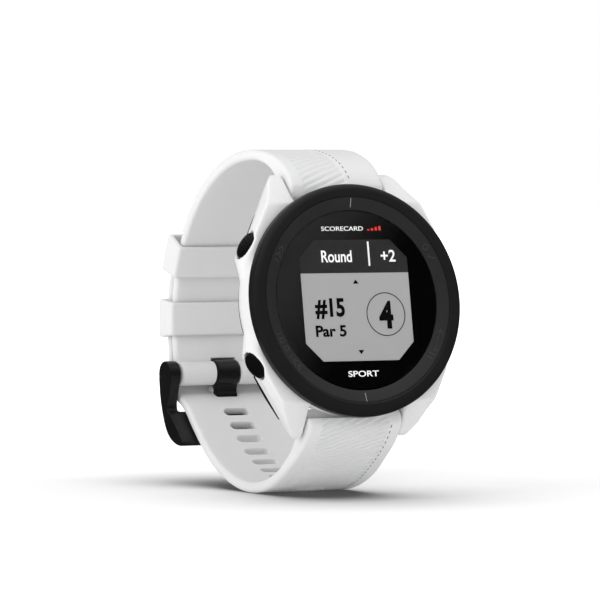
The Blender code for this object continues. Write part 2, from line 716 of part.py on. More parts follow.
def make_keeper(name, angle):
    """A loop that slides along the strap, round the middle of the strap's back arc."""
    pivot = empty(name + "_pivot", WATCH, (0, BACK_CENTRE.x, BACK_CENTRE.y))
    wall = 0.8 * MM
    inner = BACK_ARC_RADIUS - STRAP_THICKNESS / 2 - GAP
    outer = TAIL_ARC_RADIUS + TAIL_THICKNESS / 2 + GAP
    half_angle = 6.1
    side = STRAP_HALF_WIDTH + GAP
    outline = arc_band(inner - wall, outer + wall, angle - half_angle, angle + half_angle, 3)
    keeper = extruded(name, outline, 2 * (side + 1.0 * MM))
    bevel(place(keeper, SEEN_FROM_SIDE, pivot=pivot), 0.45 * MM)
    opening = extruded(name + "_guide", arc_band(inner, outer, angle - 8, angle + 8, 4), 2 * side)
    boolean(keeper, "DIFFERENCE", as_cutter(place(opening, SEEN_FROM_SIDE), SHAPERS))
    finish(keeper, "white silicone")


# Buckle


def frame_outline():
    """The buckle's arm from the side: a round eye at the pin, a waist, and a foot along the strap."""
    back = long_back_line_reversed()
    beside_strap = STRAP_THICKNESS / 2 + 0.35 * MM
    foot = [offset(station_at(back, along * MM), -beside_strap) for along in (11.5, 9.0, 6.5, 4.2)]
    eye = arc(tuple(PIN), 2.6 * MM, 10, 205, 9)
    outer_side = mm([
        (50.9, -21.2), (53.8, -20.7), (56.4, -19.2), (58.0, -17.2), (58.9, -14.4), (59.5, -11.0),
        (59.5, -8.4),
    ])
    waist = mm([(54.9, -8.6), (56.0, -10.4), (56.9, -12.3), (56.9, -13.5)])
    return eye + waist + foot + outer_side


def make_buckle():
    """The frame with its broad cross bar, and the tongue, both turning on the pin."""
    pivot = empty("buckle_pivot", WATCH, (0, PIN.x, PIN.y))
    frame = extruded("buckle_frame", frame_outline(), 2 * ARM_OUTSIDE)
    bevel(place(frame, SEEN_FROM_SIDE, pivot=pivot), 0.5 * MM)
    cuts = cutters("frame cuts")
    window = block("window_guide", (2 * ARM_INSIDE, 14 * MM, 13 * MM), (0, 56 * MM, -7.3 * MM))
    as_cutter(place(window), cuts)
    notch = block("notch_guide", (SLOT_WIDTH, 9 * MM, 4 * MM), (0, 59.8 * MM, -13.9 * MM))
    as_cutter(place(notch), cuts)
    ends = rod("pin_seat_guide", PIN_RADIUS + GAP, -12.15 * MM, 12.15 * MM, 16)
    as_cutter(place(ends, TURNED_ACROSS, (0, PIN.x, PIN.y)), cuts)
    boolean(frame, "DIFFERENCE", cuts)
    finish(frame, "black polymer")
    tongue = extruded("buckle_tongue", tongue_outline(), TONGUE_WIDTH)
    place(tongue, SEEN_FROM_SIDE, (0, PIN.x, PIN.y), pivot)
    eye = rod("tongue_eye_guide", PIN_RADIUS + GAP, -4 * MM, 4 * MM)
    place(eye, TURNED_ACROSS, (0, PIN.x, PIN.y))
    boolean(tongue, "DIFFERENCE", as_cutter(eye, SHAPERS))
    finish(tongue, "black polymer")


def tongue_outline():
    """The tongue from the side, about the pin: a round eye and a shank straight down through the strap."""
    eye = arc((0, 0), 2.65 * MM, -68, 248, 14)
    return eye + mm([(-0.45, -3.9), (-0.45, -7.1), (-0.2, -7.7), (0.35, -7.7), (0.6, -7.1), (0.6, -3.9)])


# Quick-release bars


def make_bar(which, up, pivot):
    """A spring bar: a tube with one fixed tip, and a sprung slider with the other tip and its lever."""
    at = (0, BAR_DEPTH, BAR_HEIGHT * up)
    profile = mm([
        (0, -11.3), (0.42, -11.3), (0.42, -9.6), (0.9, -9.6), (0.9, 9.6), (0.7, 9.6), (0.7, -5.0), (0, -5.0),
    ])
    tube = place(turned(f"{which}_bar_tube", profile, 16), TURNED_ACROSS, at, pivot)
    slot = block(f"{which}_bar_slot_guide", mm([(2.6, 2.0, 1.0)])[0], (LEVER_PLACE - 0.6 * MM, 1.0 * MM, 0))
    boolean(tube, "DIFFERENCE", as_cutter(place(slot, location=at), SHAPERS))
    finish(tube, "steel")
    slider = rod(f"{which}_bar_slider", 0.42 * MM, 3.0 * MM, 11.3 * MM, 12)
    place(slider, TURNED_ACROSS, at, pivot)
    lever = rod(f"{which}_lever_guide", 0.3 * MM, 0, 3.3 * MM, 12)
    lever_at = (LEVER_PLACE, at[1], at[2])
    boolean(slider, "UNION", as_cutter(place(lever, TURNED_INTO_WATCH, lever_at), SHAPERS))
    finish(slider, "steel")
    coil = coil_curve(f"{which}_bar_spring", 0.45 * MM, 0.09 * MM, 6.4 * MM, 5)
    finish(place(coil, TURNED_ACROSS, (-4.2 * MM, at[1], at[2]), pivot), "steel")


def coil_curve(name, radius, wire, length, turns):
    """A coil spring about local Z, from z = 0 to length."""
    curve = bpy.data.curves.new(name, "CURVE")
    curve.dimensions = "3D"
    curve.bevel_depth = wire
    curve.bevel_resolution = 1
    curve.use_fill_caps = True
    spline = curve.splines.new("POLY")
    per_turn = 6
    count = turns * per_turn
    spline.points.add(count)
    for i, point in enumerate(spline.points):
        angle = 2 * math.pi * i / per_turn
        point.co = (radius * math.cos(angle), radius * math.sin(angle), length * i / count, 1)
    obj = bpy.data.objects.new(name, curve)
    PARTS.objects.link(obj)
    return obj


# The whole watch


def stand_on_floor():
    """Moves the watch so that the middle of its lowest level's box is the world's origin."""
    bpy.context.view_layer.update()
    graph = bpy.context.evaluated_depsgraph_get()
    corners = []
    for obj in PARTS.objects:
        if obj.type == "EMPTY":
            continue
        evaluated = obj.evaluated_get(graph)
        mesh = evaluated.to_mesh()
        corners += [obj.matrix_world @ vertex.co for vertex in mesh.vertices]
        evaluated.to_mesh_clear()
    low = [min(corner[i] for corner in corners) for i in range(3)]
    high = [max(corner[i] for corner in corners) for i in range(3)]
    WATCH.location -= Vector(((low[0] + high[0]) / 2, (low[1] + high[1]) / 2, low[2]))
    bpy.context.view_layer.update()


def make_watch():
    make_case()
    make_bezel()
    make_lens()
    make_back_cover()
    make_display()
    make_electronics()
    for side, angle in BUTTON_ANGLES.items():
        make_button(side, angle)
    upper = empty("upper_bar_pivot", WATCH, (0, *UPPER_BAR))
    lower = empty("lower_bar_pivot", WATCH, (0, *LOWER_BAR))
    band = empty("lower_flex_pivot", WATCH, (0, *LOWER_FLEX))
    slots = make_slots()
    make_strap_front("short_strap_front", short_front_line(), 1, upper)
    make_strap_front("long_strap_front", long_front_line(), -1, lower, slots)
    make_short_back(band)
    make_long_back(band, slots)
    make_keeper("keeper_upper", 32.3)
    make_keeper("keeper_lower", 10.5)
    make_buckle()
    make_bar("upper", 1, upper)
    make_bar("lower", -1, lower)
    stand_on_floor()

clear_scene()
PARTS = collection("golf_gps_watch")
CUTTERS = collection("cutters")
SHAPERS = bpy.data.collections.new("single guides")
CUTTERS.children.link(SHAPERS)
WATCH = empty("watch_frame")
WATCH.rotation_euler = (-LEAN, 0, 0)
make_watch()
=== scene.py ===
"""Looks of the golf GPS watch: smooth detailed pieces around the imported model, floor, light and camera.

Shapes are made in millimetres in the watch's own frame and then brought into the model's frame:
+X to the right of the face, +Y from the face into the strap loop, +Z up the face, origin at the lens.
"""

import json
import math

import bmesh
import bpy
from mathutils import Matrix, Vector


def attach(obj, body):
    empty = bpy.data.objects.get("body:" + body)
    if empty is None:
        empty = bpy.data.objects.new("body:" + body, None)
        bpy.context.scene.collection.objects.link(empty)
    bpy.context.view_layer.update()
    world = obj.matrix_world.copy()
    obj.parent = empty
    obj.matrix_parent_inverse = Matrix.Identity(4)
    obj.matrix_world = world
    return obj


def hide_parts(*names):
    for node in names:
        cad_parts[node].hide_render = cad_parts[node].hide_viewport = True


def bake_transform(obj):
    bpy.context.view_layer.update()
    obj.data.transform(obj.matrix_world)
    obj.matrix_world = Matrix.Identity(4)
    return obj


MM = 0.001
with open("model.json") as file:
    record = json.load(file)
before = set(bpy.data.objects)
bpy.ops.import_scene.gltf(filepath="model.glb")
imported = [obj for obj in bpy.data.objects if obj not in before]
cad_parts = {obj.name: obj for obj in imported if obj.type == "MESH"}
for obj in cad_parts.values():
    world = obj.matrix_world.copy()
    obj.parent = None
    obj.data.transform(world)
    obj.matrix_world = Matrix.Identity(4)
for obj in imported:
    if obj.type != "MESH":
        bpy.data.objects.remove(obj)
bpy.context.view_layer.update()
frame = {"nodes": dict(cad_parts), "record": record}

# Dimensions in millimetres, as in the model
LENS_RADIUS = 16.85
SCREEN_HALF = 11.35
SCREEN_CORNER = 3.4
CASE_DEPTH_MIDDLE = 5.4
BAR_DEPTH, BAR_HEIGHT = 6.9, 22.2
BARREL_RADIUS = 2.8
FLEX_DEPTH = 47.4
STRAP_HALF_WIDTH = 10.1
STRAP_HALF_AT_LUGS = 9.85
STRAP_THICKNESS = 2.0
TAIL_THICKNESS = 1.5
GAP = 0.3
BACK_ARC_RADIUS = 31.8
BACK_ARC_TURN = -47.9
PIN = Vector((56.7, -6.4))
ROLL_RADIUS = 2.35
TONGUE_WIDTH = 4.7
SLOT_PITCH = 3.85
SLOT_SHIFT = 0.67
SLOT_WIDTH = 5.3
TONGUE_SLOT = 4
ARM_INSIDE, ARM_OUTSIDE = 10.55, 13.0
BUTTON_ANGLES = {"up": 150, "down": 210, "ok": 30, "back": 330}
BUTTON_RADIUS = 2.6
CAP_TOP = 23.6
PORT_HEIGHT = -9.0
CONTACT_PITCH = 1.9
SCREW_RADIUS = 18.2
RING_MIDDLE = 18.05
HEADER_BASE = 5.1
PANEL_FRONT, PANEL_THICKNESS = 0.17, 0.03
GLYPH_FRONT, GLYPH_THICKNESS = 0.15, 0.04

# Headings of the strap's line at its two flex lines, and its back's arcs, in degrees
UPPER_HEADING, LOWER_HEADING = -42.6, 46.6
KEEPER_ANGLES = {"keeper_upper": 32.3, "keeper_lower": 10.5}

# Grooves on the strap's outside: slope across it, right-hand edge, pitch and depth
UPPER_GROOVES = (-0.42, 2.3, 1.25, 0.3)
LOWER_GROOVES = (0.42, 7.2, 1.05, 0.42)
DASH_PITCH = 1.15

# Camera and studio
VIEW_TURN = math.radians(27.8)
VIEW_RISE = math.radians(1.7)
VIEW_DISTANCE = 845.0
AIM_LEFT_OF_LENS = 10.62
LENS_LENGTH = 273.2
AMBIENT = 0.96


def watch_frame():
    """The watch's own frame in the model's, from the mount on the lens."""
    face = next(mount for mount in frame["record"]["mounts"] if mount["name"] == "lens_face")
    inwards = -Vector(face["axis"]).normalized()
    across = Vector((1, 0, 0))
    matrix = Matrix((across, inwards, across.cross(inwards))).transposed().to_4x4()
    matrix.translation = Vector(face["pos_m"])
    return matrix


WATCH = watch_frame()
TO_MODEL = WATCH @ Matrix.Scale(MM, 4)


# Materials


def shader_material(name):
    material = bpy.data.materials.new(name)
    material.use_nodes = True
    nodes = material.node_tree.nodes
    return material, nodes, material.node_tree.links, nodes["Principled BSDF"]


def set_inputs(node, values):
    for name, value in values.items():
        node.inputs[name].default_value = value


def texture(nodes, links, kind, scale, **values):
    """A texture node on the object's own coordinates, which are metres."""
    place = nodes.new("ShaderNodeTexCoord")
    made = nodes.new(kind)
    set_inputs(made, {"Scale": scale, **values})
    links.new(place.outputs["Object"], made.inputs["Vector"])
    return made


def ranged(nodes, links, source, start, end, low, high, kind="LINEAR"):
    """A value's range from start to end mapped to low to high."""
    mapped = nodes.new("ShaderNodeMapRange")
    mapped.interpolation_type = kind
    set_inputs(mapped, {"From Min": start, "From Max": end, "To Min": low, "To Max": high})
    links.new(source, mapped.inputs["Value"])
    return mapped.outputs["Result"]


def spread(nodes, links, source, low, high):
    """A noise texture's usual range mapped to low to high."""
    return ranged(nodes, links, source, 0.25, 0.75, low, high)


def tinted(nodes, links, factor, first, second):
    """A colour from the first to the second as the factor goes from 0 to 1."""
    mix = nodes.new("ShaderNodeMix")
    mix.data_type = "RGBA"
    set_inputs(mix, {"A": (*first, 1), "B": (*second, 1)})
    links.new(factor, mix.inputs["Factor"])
    return mix.outputs["Result"]


def add_bump(nodes, links, shader, height, depth):
    bump = nodes.new("ShaderNodeBump")
    set_inputs(bump, {"Strength": 1.0, "Distance": depth})
    links.new(height, bump.inputs["Height"])
    links.new(bump.outputs["Normal"], shader.inputs["Normal"])


def moulded(name, colour, roughness, grain=0.00001, vary=0.03, specular=0.5, coat=0.0, sheen=0.0):
    """Moulded plastic or silicone: slightly uneven colour and gloss over a fine spark-eroded grain."""
    material, nodes, links, shader = shader_material(name)
    cloud = texture(nodes, links, "ShaderNodeTexNoise", 140, Detail=3.0)
    factor = spread(nodes, links, cloud.outputs["Fac"], 0, 1)
    darker, lighter = ([value * share for value in colour] for share in (1 - vary, 1 + vary))
    links.new(tinted(nodes, links, factor, darker, lighter), shader.inputs["Base Color"])
    fine = texture(nodes, links, "ShaderNodeTexNoise", 5200, Detail=2.0)
    uneven = spread(nodes, links, fine.outputs["Fac"], roughness - 0.05, roughness + 0.05)
    links.new(uneven, shader.inputs["Roughness"])
    add_bump(nodes, links, shader, fine.outputs["Fac"], grain)
    set_inputs(shader, {
        "Specular IOR Level": specular, "Coat Weight": coat, "Coat Roughness": 0.12, "Sheen Weight": sheen,
    })
    return material


def metal(name, colour, roughness, streak=(300, 6000, 6000)):
    """Bare metal with fine drawn streaks along X."""
    material, nodes, links, shader = shader_material(name)
    noise = texture(nodes, links, "ShaderNodeTexNoise", 1, Detail=3.0)
    stretch = nodes.new("ShaderNodeMapping")
    set_inputs(stretch, {"Scale": streak})
    links.new(noise.inputs["Vector"].links[0].from_socket, stretch.inputs["Vector"])
    links.new(stretch.outputs["Vector"], noise.inputs["Vector"])
    set_inputs(shader, {"Base Color": (*colour, 1), "Metallic": 1})
    uneven = spread(nodes, links, noise.outputs["Fac"], roughness - 0.08, roughness + 0.08)
    links.new(uneven, shader.inputs["Roughness"])
    add_bump(nodes, links, shader, noise.outputs["Fac"], 0.000004)
    return material


def clear_glass():
    """Cover glass over a dark print: clear, with a sharp reflection that grows towards its edge-on view."""
    head_on = 0.034
    material, nodes, links, shader = shader_material("cover_glass")
    nodes.remove(shader)
    smudge = texture(nodes, links, "ShaderNodeTexNoise", 160, Detail=4.0)
    gloss = nodes.new("ShaderNodeBsdfGlossy")
    links.new(spread(nodes, links, smudge.outputs["Fac"], 0.03, 0.07), gloss.inputs["Roughness"])
    clear = nodes.new("ShaderNodeBsdfTransparent")
    facing = nodes.new("ShaderNodeLayerWeight")
    set_inputs(facing, {"Blend": 0.5})
    steep = nodes.new("ShaderNodeMath")
    steep.operation = "POWER"
    set_inputs(steep, {1: 5.0})
    links.new(facing.outputs["Facing"], steep.inputs[0])
    share = nodes.new("ShaderNodeMath")
    share.operation = "MULTIPLY_ADD"
    set_inputs(share, {1: 1 - head_on, 2: head_on})
    links.new(steep.outputs["Value"], share.inputs[0])
    mix = nodes.new("ShaderNodeMixShader")
    links.new(share.outputs["Value"], mix.inputs["Fac"])
    links.new(clear.outputs["BSDF"], mix.inputs[1])
    links.new(gloss.outputs["BSDF"], mix.inputs[2])
    links.new(mix.outputs["Shader"], nodes["Material Output"].inputs["Surface"])
    return material


def lens_print():
    """Black print under the lens with a painted sheen: its colour lifts softly from black to dark grey
    towards its upper left.
    """
    material, nodes, links, shader = shader_material("lens_print")
    upper_left = Vector((-0.8, 0, 0.6))
    place = nodes.new("ShaderNodeTexCoord")
    along = nodes.new("ShaderNodeVectorMath")
    along.operation = "DOT_PRODUCT"
    set_inputs(along, {1: upper_left})
    links.new(place.outputs["Object"], along.inputs[0])
    start = upper_left.dot(WATCH.translation) - 0.004
    # Painted sheen: the print's colour rises from black to dark grey towards the upper left
    grey = ranged(nodes, links, along.outputs["Value"], start, start + 0.019, 0.0006, 0.022, "SMOOTHSTEP")
    links.new(grey, shader.inputs["Base Color"])
    set_inputs(shader, {"Roughness": 0.6, "Specular IOR Level": 0})
    return material


def display_material(name, colour):
    """The reflective display's face: an even tone with a faint grid of cells."""
    material, nodes, links, shader = shader_material(name)
    cells = texture(nodes, links, "ShaderNodeTexVoronoi", 7000.0, Randomness=0.0)
    darker, lighter = ([value * share for value in colour] for share in (0.97, 1.03))
    grid = tinted(nodes, links, cells.outputs["Distance"], darker, lighter)
    links.new(grid, shader.inputs["Base Color"])
    set_inputs(shader, {"Roughness": 0.6, "Specular IOR Level": 0.1})
    return material


def lit(material, colour, strength):
    """The same material with a faint light of its own, as on a lit display."""
    shader = material.node_tree.nodes["Principled BSDF"]
    set_inputs(shader, {"Emission Color": (*colour, 1), "Emission Strength": strength})
    return material


def circuit_board():
    """Green solder mask with lighter tracks in it."""
    material, nodes, links, shader = shader_material("circuit_board")
    tracks = texture(nodes, links, "ShaderNodeTexBrick", 900)
    set_inputs(tracks, {
        "Color1": (0.015, 0.09, 0.035, 1), "Color2": (0.02, 0.12, 0.05, 1), "Mortar": (0.05, 0.2, 0.09, 1),
    })
    links.new(tracks.outputs["Color"], shader.inputs["Base Color"])
    set_inputs(shader, {"Roughness": 0.35})
    add_bump(nodes, links, shader, tracks.outputs["Fac"], 0.00001)
    return material


def make_materials():
    return {
        "white_polymer": moulded("white_polymer", (0.76, 0.76, 0.765), 0.38, vary=0.01, coat=0.1),
        "white_silicone": moulded("white_silicone", (0.73, 0.73, 0.735), 0.55, vary=0.012, sheen=0.1),
        "black_polymer": moulded("black_polymer", (0.008, 0.008, 0.0083), 0.32, vary=0.1, specular=0.25),
        "button_polymer": moulded("button_polymer", (0.004, 0.004, 0.0043), 0.42, vary=0.1, specular=0.1),
        "bezel_polymer": moulded("bezel_polymer", (0.0115, 0.0115, 0.0118), 0.36, vary=0.08, specular=0.2),
        "label_ring": moulded("label_ring", (0.021, 0.021, 0.0215), 0.42, vary=0.08, specular=0.35),
        "label_marks": moulded("label_marks", (0.042, 0.042, 0.043), 0.4, vary=0.05),
        "tick_marks": moulded("tick_marks", (0.25, 0.25, 0.25), 0.5, vary=0.05),
        "stitch": moulded("stitch", (0.24, 0.24, 0.24), 0.6, vary=0.1),
        "black_rubber": moulded("black_rubber", (0.02, 0.02, 0.02), 0.7, grain=0.00002),
        "grey_polymer": moulded("grey_polymer", (0.17, 0.17, 0.18), 0.5),
        "lens_glass": clear_glass(),
        # The lens print carries a painted sheen towards its upper left
        "lens_print": lens_print(),
        "display": display_material("display", (0.42, 0.4225, 0.42)),
        "display_dark": display_material("display_dark", (0.03, 0.03, 0.031)),
        "glyph_black": moulded("glyph_black", (0.004, 0.004, 0.004), 0.6, specular=0.0),
        "glyph_white": lit(moulded("glyph_white", (0.8, 0.8, 0.8), 0.5), (1, 1, 1), 0.3),
        "glyph_red": lit(moulded("glyph_red", (0.75, 0.03, 0.02), 0.5), (1, 0.05, 0.03), 0.2),
        "light_guide": moulded("light_guide", (0.75, 0.77, 0.8), 0.15),
        "amber_film": moulded("amber_film", (0.45, 0.2, 0.03), 0.35),
        "circuit_board": circuit_board(),
        "steel": metal("steel", (0.55, 0.55, 0.55), 0.28),
        "battery_foil": metal("battery_foil", (0.5, 0.51, 0.53), 0.4, streak=(900, 900, 900)),
        "gold_plate": metal("gold_plate", (0.8, 0.58, 0.24), 0.25),
        "ceramic": moulded("ceramic", (0.68, 0.62, 0.52), 0.6, grain=0.00003),
    }


MATERIALS = make_materials()


# Building helpers


def link(name, mesh):
    obj = bpy.data.objects.new(name, mesh)
    bpy.context.scene.collection.objects.link(obj)
    return obj


def from_bmesh(name, bm):
    mesh = bpy.data.meshes.new(name)
    bmesh.ops.recalc_face_normals(bm, faces=bm.faces)
    bm.to_mesh(mesh)
    bm.free()
    return link(name, mesh)


def piece(obj, body, material, replaced=(), angle=38):
    """Brings a finished shape into the model's frame, smooths it, colours it and rides it on a body."""
    obj.data.transform(TO_MODEL)
    obj.data.materials.clear()
    obj.data.materials.append(MATERIALS[material])
    obj.data.shade_smooth()
    obj.data.set_sharp_from_angle(angle=math.radians(angle))
    if body:
        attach(obj, body)
    if replaced:
        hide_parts(*replaced)
    return obj


def apply_modifiers(obj):
    graph = bpy.context.evaluated_depsgraph_get()
    mesh = bpy.data.meshes.new_from_object(obj.evaluated_get(graph))
    obj.modifiers.clear()
    obj.data = mesh
    return obj


def combine(obj, operation, others, solver="EXACT"):
    """Cuts obj by other solids or joins them to it, and removes them."""
    for other in others:
        modifier = obj.modifiers.new(operation.title(), "BOOLEAN")
        modifier.operation = operation
        modifier.object = other
        modifier.solver = solver
    apply_modifiers(obj)
    for other in others:
        bpy.data.objects.remove(other)
    return obj


def softened(obj, voxel, rounds):
    """Rebuilds a solid with fine even faces and eases its edges, as a moulded part has them."""
    remesh = obj.modifiers.new("Remesh", "REMESH")
    remesh.mode = "VOXEL"
    remesh.voxel_size = voxel
    smooth = obj.modifiers.new("Smooth", "SMOOTH")
    smooth.iterations = rounds
    smooth.factor = 0.5
    return apply_modifiers(obj)


def join_rings(bm, a, b):
    """Faces between two rings of vertices, either of which may be a single point."""
    if len(a) == 1 and len(b) == 1:
        return
    count = max(len(a), len(b))
    for i in range(count):
        j = (i + 1) % count
        corners = [a[i % len(a)], a[j % len(a)], b[j % len(b)], b[i % len(b)]]
        bm.faces.new(list(dict.fromkeys(corners)))


def turned(name, profile, segments=192, at=(0, 0)):
    """A solid turned about a line along Y through (X, Z) at, from (radius, depth) points in order."""
    bm = bmesh.new()
    rings = []
    for radius, depth in profile:
        if radius < 1e-6:
            rings.append([bm.verts.new((at[0], depth, at[1]))])
            continue
        angles = [2 * math.pi * i / segments for i in range(segments)]
        ring = [(at[0] + radius * math.cos(a), depth, at[1] + radius * math.sin(a)) for a in angles]
        rings.append([bm.verts.new(point) for point in ring])
    for a, b in zip(rings, rings[1:] + rings[:1]):
        join_rings(bm, a, b)
    return from_bmesh(name, bm)


def lofted(name, rings):
    """A closed solid through rings of equally many points."""
    bm = bmesh.new()
    made = [[bm.verts.new(point) for point in ring] for ring in rings]
    for a, b in zip(made, made[1:]):
        join_rings(bm, a, b)
    bm.faces.new(made[0])
    bm.faces.new(made[-1])
    return from_bmesh(name, bm)


def prism(name, outline, low, high, lay):
    """A solid on a flat outline; lay places an outline point at a height, as lay(u, v, height)."""
    return lofted(name, [[lay(u, v, low) for u, v in outline], [lay(u, v, high) for u, v in outline]])


def on_face(u, v, height):
    return (u, height, v)


def on_side(u, v, height):
    return (height, u, v)


def rounded(outline, radius, steps=5):
    """The closed outline with its corners rounded; a point's third value is its own radius."""
    points = []
    for i, point in enumerate(outline):
        corner = Vector(point[:2])
        before = Vector(outline[i - 1][:2]) - corner
        after = Vector(outline[(i + 1) % len(outline)][:2]) - corner
        own = point[2] if len(point) > 2 else radius
        reach = min(own, before.length * 0.48, after.length * 0.48)
        if reach < 1e-4:
            points.append(tuple(corner))
            continue
        start = corner + before.normalized() * reach
        end = corner + after.normalized() * reach
        for k in range(steps + 1):
            t = k / steps
            points.append(tuple(start * (1 - t) ** 2 + corner * 2 * t * (1 - t) + end * t * t))
    return points


def arc(middle, radius, start, end, count):
    """Points on an arc, its angles in degrees, both ends included."""
    angles = [math.radians(start + (end - start) * i / count) for i in range(count + 1)]
    return [(middle[0] + radius * math.cos(a), middle[1] + radius * math.sin(a)) for a in angles]


def racetrack(width, height, count=10):
    radius = height / 2
    reach = width / 2 - radius
    return arc((reach, 0), radius, -90, 90, count) + arc((-reach, 0), radius, 90, 270, count)


# Strap lines: stations of depth, height and heading in degrees, from a strap's bar to its other end


def arc_chain(start, heading, arcs, spacing=0.18):
    depth, height = start
    stations = [(depth, height, heading)]
    for length, turn in arcs:
        count = max(1, round(length / spacing))
        for _ in range(count):
            middle = math.radians(heading + turn / count / 2)
            depth += length / count * math.cos(middle)
            height += length / count * math.sin(middle)
            heading += turn / count
            stations.append((depth, height, heading))
    return stations


def reverse(stations):
    return [(depth, height, heading + 180) for depth, height, heading in reversed(stations)]


UPPER_FLEX = Vector((FLEX_DEPTH, BAR_HEIGHT))
LOWER_FLEX = Vector((FLEX_DEPTH, -BAR_HEIGHT))
TO_CENTRE = math.radians(UPPER_HEADING - 90)
BACK_CENTRE = UPPER_FLEX + Vector((math.cos(TO_CENTRE), math.sin(TO_CENTRE))) * BACK_ARC_RADIUS
TAIL_ARC_RADIUS = BACK_ARC_RADIUS + STRAP_THICKNESS / 2 + GAP + TAIL_THICKNESS / 2


def short_strap_line():
    front = arc_chain(UPPER_FLEX, 137.5, [(15.7, 26.7), (18.7, 32.2), (11.6, 50.7)])
    arc_length = math.radians(-BACK_ARC_TURN) * BACK_ARC_RADIUS
    back = arc_chain(UPPER_FLEX, UPPER_HEADING, [(arc_length, BACK_ARC_TURN), (4.9, 0)])
    return reverse(front), back[1:]


def long_strap_line():
    front = arc_chain(LOWER_FLEX, -133.4, [(16.4, -30.1), (17.6, -38.9), (12.3, -32.7)])
    tip_angle = math.radians(29)
    tip = BACK_CENTRE + Vector((math.cos(tip_angle), math.sin(tip_angle))) * TAIL_ARC_RADIUS
    along = math.degrees(14.0 / TAIL_ARC_RADIUS)
    arcs = [(14.0, -along), (8.1, -0.1), (5.9, -66.5), (6.0, 26.3), (9.2, -8.8)]
    return reverse(front), reverse(arc_chain(tip, -61, arcs))[1:]


def running_lengths(stations):
    lengths = [0.0]
    for a, b in zip(stations, stations[1:]):
        lengths.append(lengths[-1] + math.dist(a[:2], b[:2]))
    return lengths


def station_at(stations, distance):
    lengths = running_lengths(stations)
    index = min(max(1, sum(length < distance for length in lengths)), len(lengths) - 1)
    share = (distance - lengths[index - 1]) / (lengths[index] - lengths[index - 1])
    return tuple(a + (b - a) * share for a, b in zip(stations[index - 1], stations[index]))


def beside(station, distance):
    """The point that far to the left of a station's heading."""
    turn = math.radians(station[2])
    return station[0] - math.sin(turn) * distance, station[1] + math.cos(turn) * distance


def soft_max(a, b, ease=0.35):
    return (a + b + math.sqrt((a - b) ** 2 + ease ** 2)) / 2


def smooth_step(value, low, high):
    t = min(1, max(0, (value - low) / (high - low)))
    return t * t * (3 - 2 * t)


# Strap


def hatch_depth(across, along, slope, right_edge, pitch, depth):
    """The depth of the fine slanted grooves on a strap's outside."""
    phase = ((along + slope * across) / pitch) % 1
    wave = smooth_step(phase, 0, 0.3) * (1 - smooth_step(phase, 0.3, 0.8))
    inside = smooth_step(across, -7.3, -6.6) * (1 - smooth_step(across, right_edge - 0.5, right_edge - 0.1))
    reach = smooth_step(along, -2.9, -2.2) * (1 - smooth_step(along, 36, 39))
    return depth * wave * inside * reach


def strap_section(half_width, inner, outer):
    """Points round a strap's cross-section as (across, share), share 1 on the outside and -1 inside."""
    corner = 0.75
    rise = min(corner, (inner + outer) * 0.46)
    outside = [half_width - corner - (2 * (half_width - corner)) * i / 90 for i in range(91)]
    inside = [-half_width + corner + (2 * (half_width - corner)) * i / 18 for i in range(19)]
    quarter = [math.radians(90 * k / 5) for k in range(1, 5)]
    left = [(-half_width + corner - corner * math.sin(a), outer - rise * (1 - math.cos(a))) for a in quarter]
    left += [(-half_width, outer - rise), (-half_width, rise - inner)]
    left += [
        (-half_width + corner - corner * math.cos(a), rise * (1 - math.sin(a)) - inner) for a in quarter
    ]
    right = [(-x, out) for x, out in reversed(left)]
    return [(x, outer) for x in outside] + left + [(x, -inner) for x in inside] + right


def strap_ring(station, side, half_width, inner, outer, along=None, hatch=None):
    """One section placed on the strap's line. side is 1 where the outside is left of the heading."""
    points = []
    for across, out in strap_section(half_width, inner, outer):
        if hatch and out == outer:
            out -= hatch_depth(across, along, *hatch)
        depth, height = beside(station, side * out)
        points.append((across, depth, height))
    return points


def half_width_at(along):
    return STRAP_HALF_AT_LUGS + (STRAP_HALF_WIDTH - STRAP_HALF_AT_LUGS) * smooth_step(along, 7, 11)


def bar_end_rings(station, side, hatch):
    """The strap's round end behind its bar."""
    turn = math.radians(station[2])
    rings = []
    for angle in (86, 78, 68, 57, 48, 43, 41, 39, 37, 35, 33, 31, 27, 22, 17, 12, 8, 4):
        back = BARREL_RADIUS * math.sin(math.radians(angle))
        half = BARREL_RADIUS * math.cos(math.radians(angle))
        outer = min(half, front_half_thickness(0))
        place = (station[0] - back * math.cos(turn), station[1] - back * math.sin(turn), station[2])
        rings.append(strap_ring(place, side, STRAP_HALF_AT_LUGS, half, outer, -back, hatch))
    return rings


def front_half_thickness(along):
    """How far a strap's outside is from its line: thick round the bar, then even."""
    half = STRAP_THICKNESS / 2
    return half + (BARREL_RADIUS - half - 0.1) * (1 - smooth_step(along, -1.5, 11))


def front_half(line, side, hatch):
    """Rings from the bar to the flex line, with the grooves on the outside."""
    rings = bar_end_rings(line[0], side, hatch)
    for station, along in zip(line, running_lengths(line)):
        outer = front_half_thickness(along)
        inner = STRAP_THICKNESS / 2 + 0.8 * max(0, 1 - along / 13)
        if along < BARREL_RADIUS:
            inner = soft_max(inner, math.sqrt(BARREL_RADIUS ** 2 - along ** 2))
        rings.append(strap_ring(station, side, half_width_at(along), inner, outer, along, hatch))
    return rings


